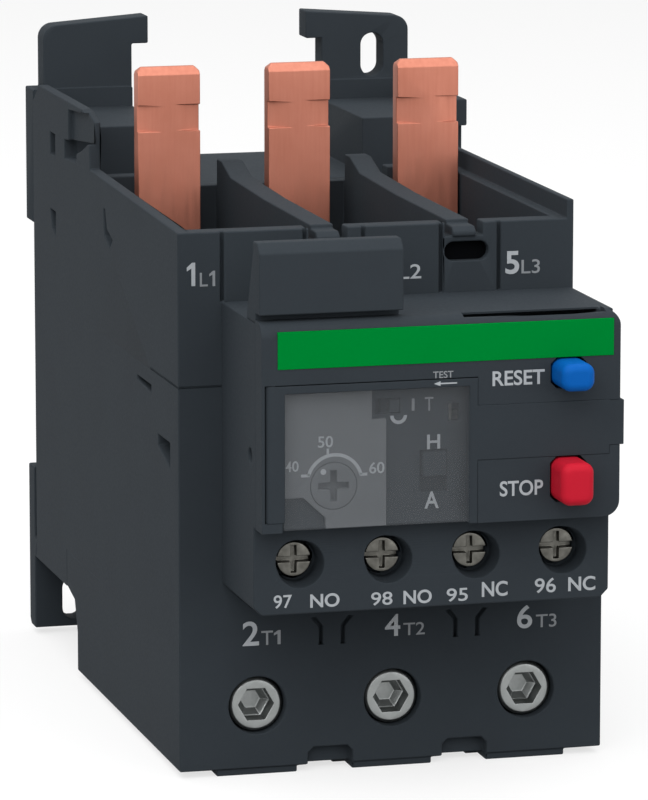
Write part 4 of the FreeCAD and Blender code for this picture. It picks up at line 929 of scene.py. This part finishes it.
MARKS: dict[str, Mark] = {
    "mark_2": Mark("2", -19.4, -17.3, 15.7, 18.8, Face.BLOCK),
    "mark_t1": Mark("T", -17.0, -15.5, 15.7, 17.5, Face.BLOCK, 0.004, True),
    "mark_t1_digit": Mark("1", -15.5, -14.2, 15.7, 17.5, Face.BLOCK, faint=True),
    "mark_4": Mark("4", -1.0, 1.0, 15.9, 18.7, Face.BLOCK),
    "mark_t2": Mark("T2", 1.4, 4.2, 15.9, 17.5, Face.BLOCK, 0.004, True),
    "mark_6": Mark("6", 16.3, 18.3, 15.9, 18.9, Face.BLOCK),
    "mark_t3": Mark("T3", 18.8, 21.5, 15.9, 17.6, Face.BLOCK, 0.004, True),
    "mark_1": Mark("1", -26.5, -24.9, 61.4, 64.3, Face.BLOCK),
    "mark_l1": Mark("L", -24.7, -23.7, 61.3, 63.0, Face.BLOCK, 0.004, True),
    "mark_l1_digit": Mark("1", -23.6, -22.5, 61.3, 63.2, Face.BLOCK, faint=True),
    "mark_3": Mark("3", -1.8, 0.1, 61.2, 64.2, Face.BLOCK),
    "mark_l2": Mark("L2", 0.7, 3.6, 61.2, 63.0, Face.BLOCK, 0.006),
    "mark_5": Mark("5", 14.5, 16.3, 61.25, 64.15, Face.BLOCK, 0.02),
    "mark_l3": Mark("L3", 16.6, 19.0, 61.25, 63.0, Face.BLOCK, 0.004, True),
    "mark_97": Mark("97", -19.5, -17.2, 23.85, 25.5, Face.ROW, 0.008),
    "mark_97_no": Mark("NO", -14.9, -11.2, 23.7, 25.4, Face.ROW, 0.02),
    "mark_98": Mark("98", -7.2, -4.5, 23.55, 25.2, Face.ROW, 0.008),
    "mark_98_no": Mark("NO", -3.1, 0.5, 23.5, 25.2, Face.ROW, 0.02),
    "mark_95": Mark("95", 2.4, 5.1, 23.5, 25.15, Face.ROW, 0.008),
    "mark_95_nc": Mark("NC", 6.9, 10.2, 23.85, 25.75, Face.ROW, 0.02),
    "mark_96": Mark("96", 13.7, 16.4, 23.95, 25.8, Face.ROW, 0.008),
    "mark_96_nc": Mark("NC", 18.0, 21.5, 23.95, 25.75, Face.ROW, 0.02),
    "mark_reset": Mark("RESET", 6.9, 13.5, 50.85, 52.7, Face.FASCIA, 0.016),
    "mark_stop": Mark("STOP", 7.9, 13.4, 37.15, 39.05, Face.FASCIA, 0.016),
    "mark_test": Mark("TEST", -0.6, 1.95, 52.15, 53.0, Face.FASCIA, 0.01, True),
    "mark_hand": Mark("H", -0.7, 0.95, 43.05, 44.85, Face.FLOOR, 0.016),
    "mark_auto": Mark("A", -1.0, 0.8, 35.7, 37.8, Face.FLOOR, 0.016),
    "mark_trip": Mark("T", -1.0, 0.1, 47.8, 49.5, Face.FLOOR, 0.004, True),
    "mark_bar": Mark("I", -2.65, -2.3, 47.9, 49.4, Face.FLOOR, 0.004, True),
    "scale_low": Mark("4", -18.6, -17.9, 41.2, 42.5, Face.PLATE, 0.01),
    "scale_low_unit": Mark("0", -17.8, -17.0, 41.2, 42.5, Face.PLATE, 0.01),
    "scale_middle": Mark("50", -14.6, -12.7, 44.0, 45.4, Face.PLATE, 0.01),
    "scale_high": Mark("60", -8.15, -6.25, 40.5, 41.9, Face.PLATE, 0.01),
}


# ---------------------------------------------------------------- studio

@dataclass
class Studio:
    """Floor, lamps, world and camera."""

    lens: float = 253.0
    eye: tuple[float, float, float] = (-185.55, -663.89, 169.89)
    aim: tuple[float, float, float] = (-8.9, 0.0, 46.4)
    ambient: float = 0.4

    def build(self) -> None:
        """Set up the studio."""
        self.floor()
        self.world()
        self.lamps()
        self.camera()

    @staticmethod
    def seen(tree: bpy.types.NodeTree) -> bpy.types.NodeSocket:
        """Tell the rays that see the background from the ones that light the relay.

        Args:
            tree: The node tree of the floor or the world.

        Returns:
            A socket that is 1 for camera, glossy and transmission rays.
        """
        path = add_node(tree, "ShaderNodeLightPath", {}, {})
        either = add_node(tree, "ShaderNodeMath", {"operation": "MAXIMUM"},
                          {0: path.outputs["Is Camera Ray"], 1: path.outputs["Is Glossy Ray"]})
        seen = add_node(tree, "ShaderNodeMath", {"operation": "MAXIMUM"},
                        {0: either.outputs["Value"], 1: path.outputs["Is Transmission Ray"]})
        return seen.outputs["Value"]

    def floor(self) -> None:
        """Lay a pale floor that is white to the camera and in reflections, and keeps its shadows."""
        deselect()
        bpy.ops.mesh.primitive_plane_add(size=6.0, location=(0, 0, 0))
        floor = bpy.context.object
        floor.name = "studio_floor"
        material, tree, shader, _ = start("floor_paint")
        shader.inputs["Base Color"].default_value = linear("#949494")
        shader.inputs["Roughness"].default_value = 0.9
        shader.inputs["Specular IOR Level"].default_value = 0.0
        shader.inputs["Emission Color"].default_value = linear("#FFFFFF")
        lift = add_node(tree, "ShaderNodeMapRange", {"To Min": 0.0, "To Max": 0.7},
                        {"Value": self.seen(tree)})
        tree.links.new(lift.outputs["Result"], shader.inputs["Emission Strength"])
        floor.data.materials.append(material)

    def world(self) -> None:
        """Light from all round, white to the camera and in reflections."""
        world = bpy.data.worlds.new("studio_world")
        bpy.context.scene.world = world
        world.use_nodes = True
        tree = world.node_tree
        tree.nodes.clear()
        strength = add_node(tree, "ShaderNodeMapRange", {"To Min": self.ambient, "To Max": 1.0},
                            {"Value": self.seen(tree)})
        light = add_node(tree, "ShaderNodeBackground", {"Color": (1, 1, 1, 1)},
                         {"Strength": strength.outputs["Result"]})
        add_node(tree, "ShaderNodeOutputWorld", {}, {"Surface": light.outputs["Background"]})

    def lamps(self) -> None:
        """Hang a large soft lamp at the upper left, one above, and a weaker one at the right."""
        for name, place, size, power in (("key", (-500, -800, 600), 0.9, 6.0),
                                         ("top", (-100, -150, 900), 1.6, 12.5),
                                         ("fill", (600, -800, 150), 0.9, 4.5)):
            light = bpy.data.lights.new(name, "AREA")
            light.size = size
            light.energy = power
            lamp = bpy.data.objects.new(name, light)
            bpy.context.scene.collection.objects.link(lamp)
            lamp.location = DATUM.at(*place)
            aim = DATUM.at(0, 20, 40) - lamp.location
            lamp.rotation_euler = aim.to_track_quat("-Z", "Y").to_euler()

    def camera(self) -> None:
        """Set the camera."""
        scene = bpy.context.scene
        data = bpy.data.cameras.new("camera")
        data.lens = self.lens
        data.sensor_width = 36.0
        data.clip_end = 20.0
        camera = bpy.data.objects.new("camera", data)
        scene.collection.objects.link(camera)
        camera.location = DATUM.at(*self.eye)
        aim = DATUM.at(*self.aim) - camera.location
        camera.rotation_euler = aim.to_track_quat("-Z", "Y").to_euler()
        scene.camera = camera
        scene.view_settings.view_transform = "Standard"


def main() -> None:
    """Build and dress the relay, print its marks, and set the studio.

    Raises:
        RuntimeError: If a CAD node was given no finish.
    """
    finishes = Finishes()
    for maker in (Housing, PowerTerminals, ControlModule, SettingPanel, Mechanism):
        maker(finishes).build()
    missed = sorted(set(NODES) - DRESSED)
    if missed:
        raise RuntimeError(f"no finish for {missed}")
    Printer(finishes).build()
    Studio().build()


if __name__ == "__main__":
    main()
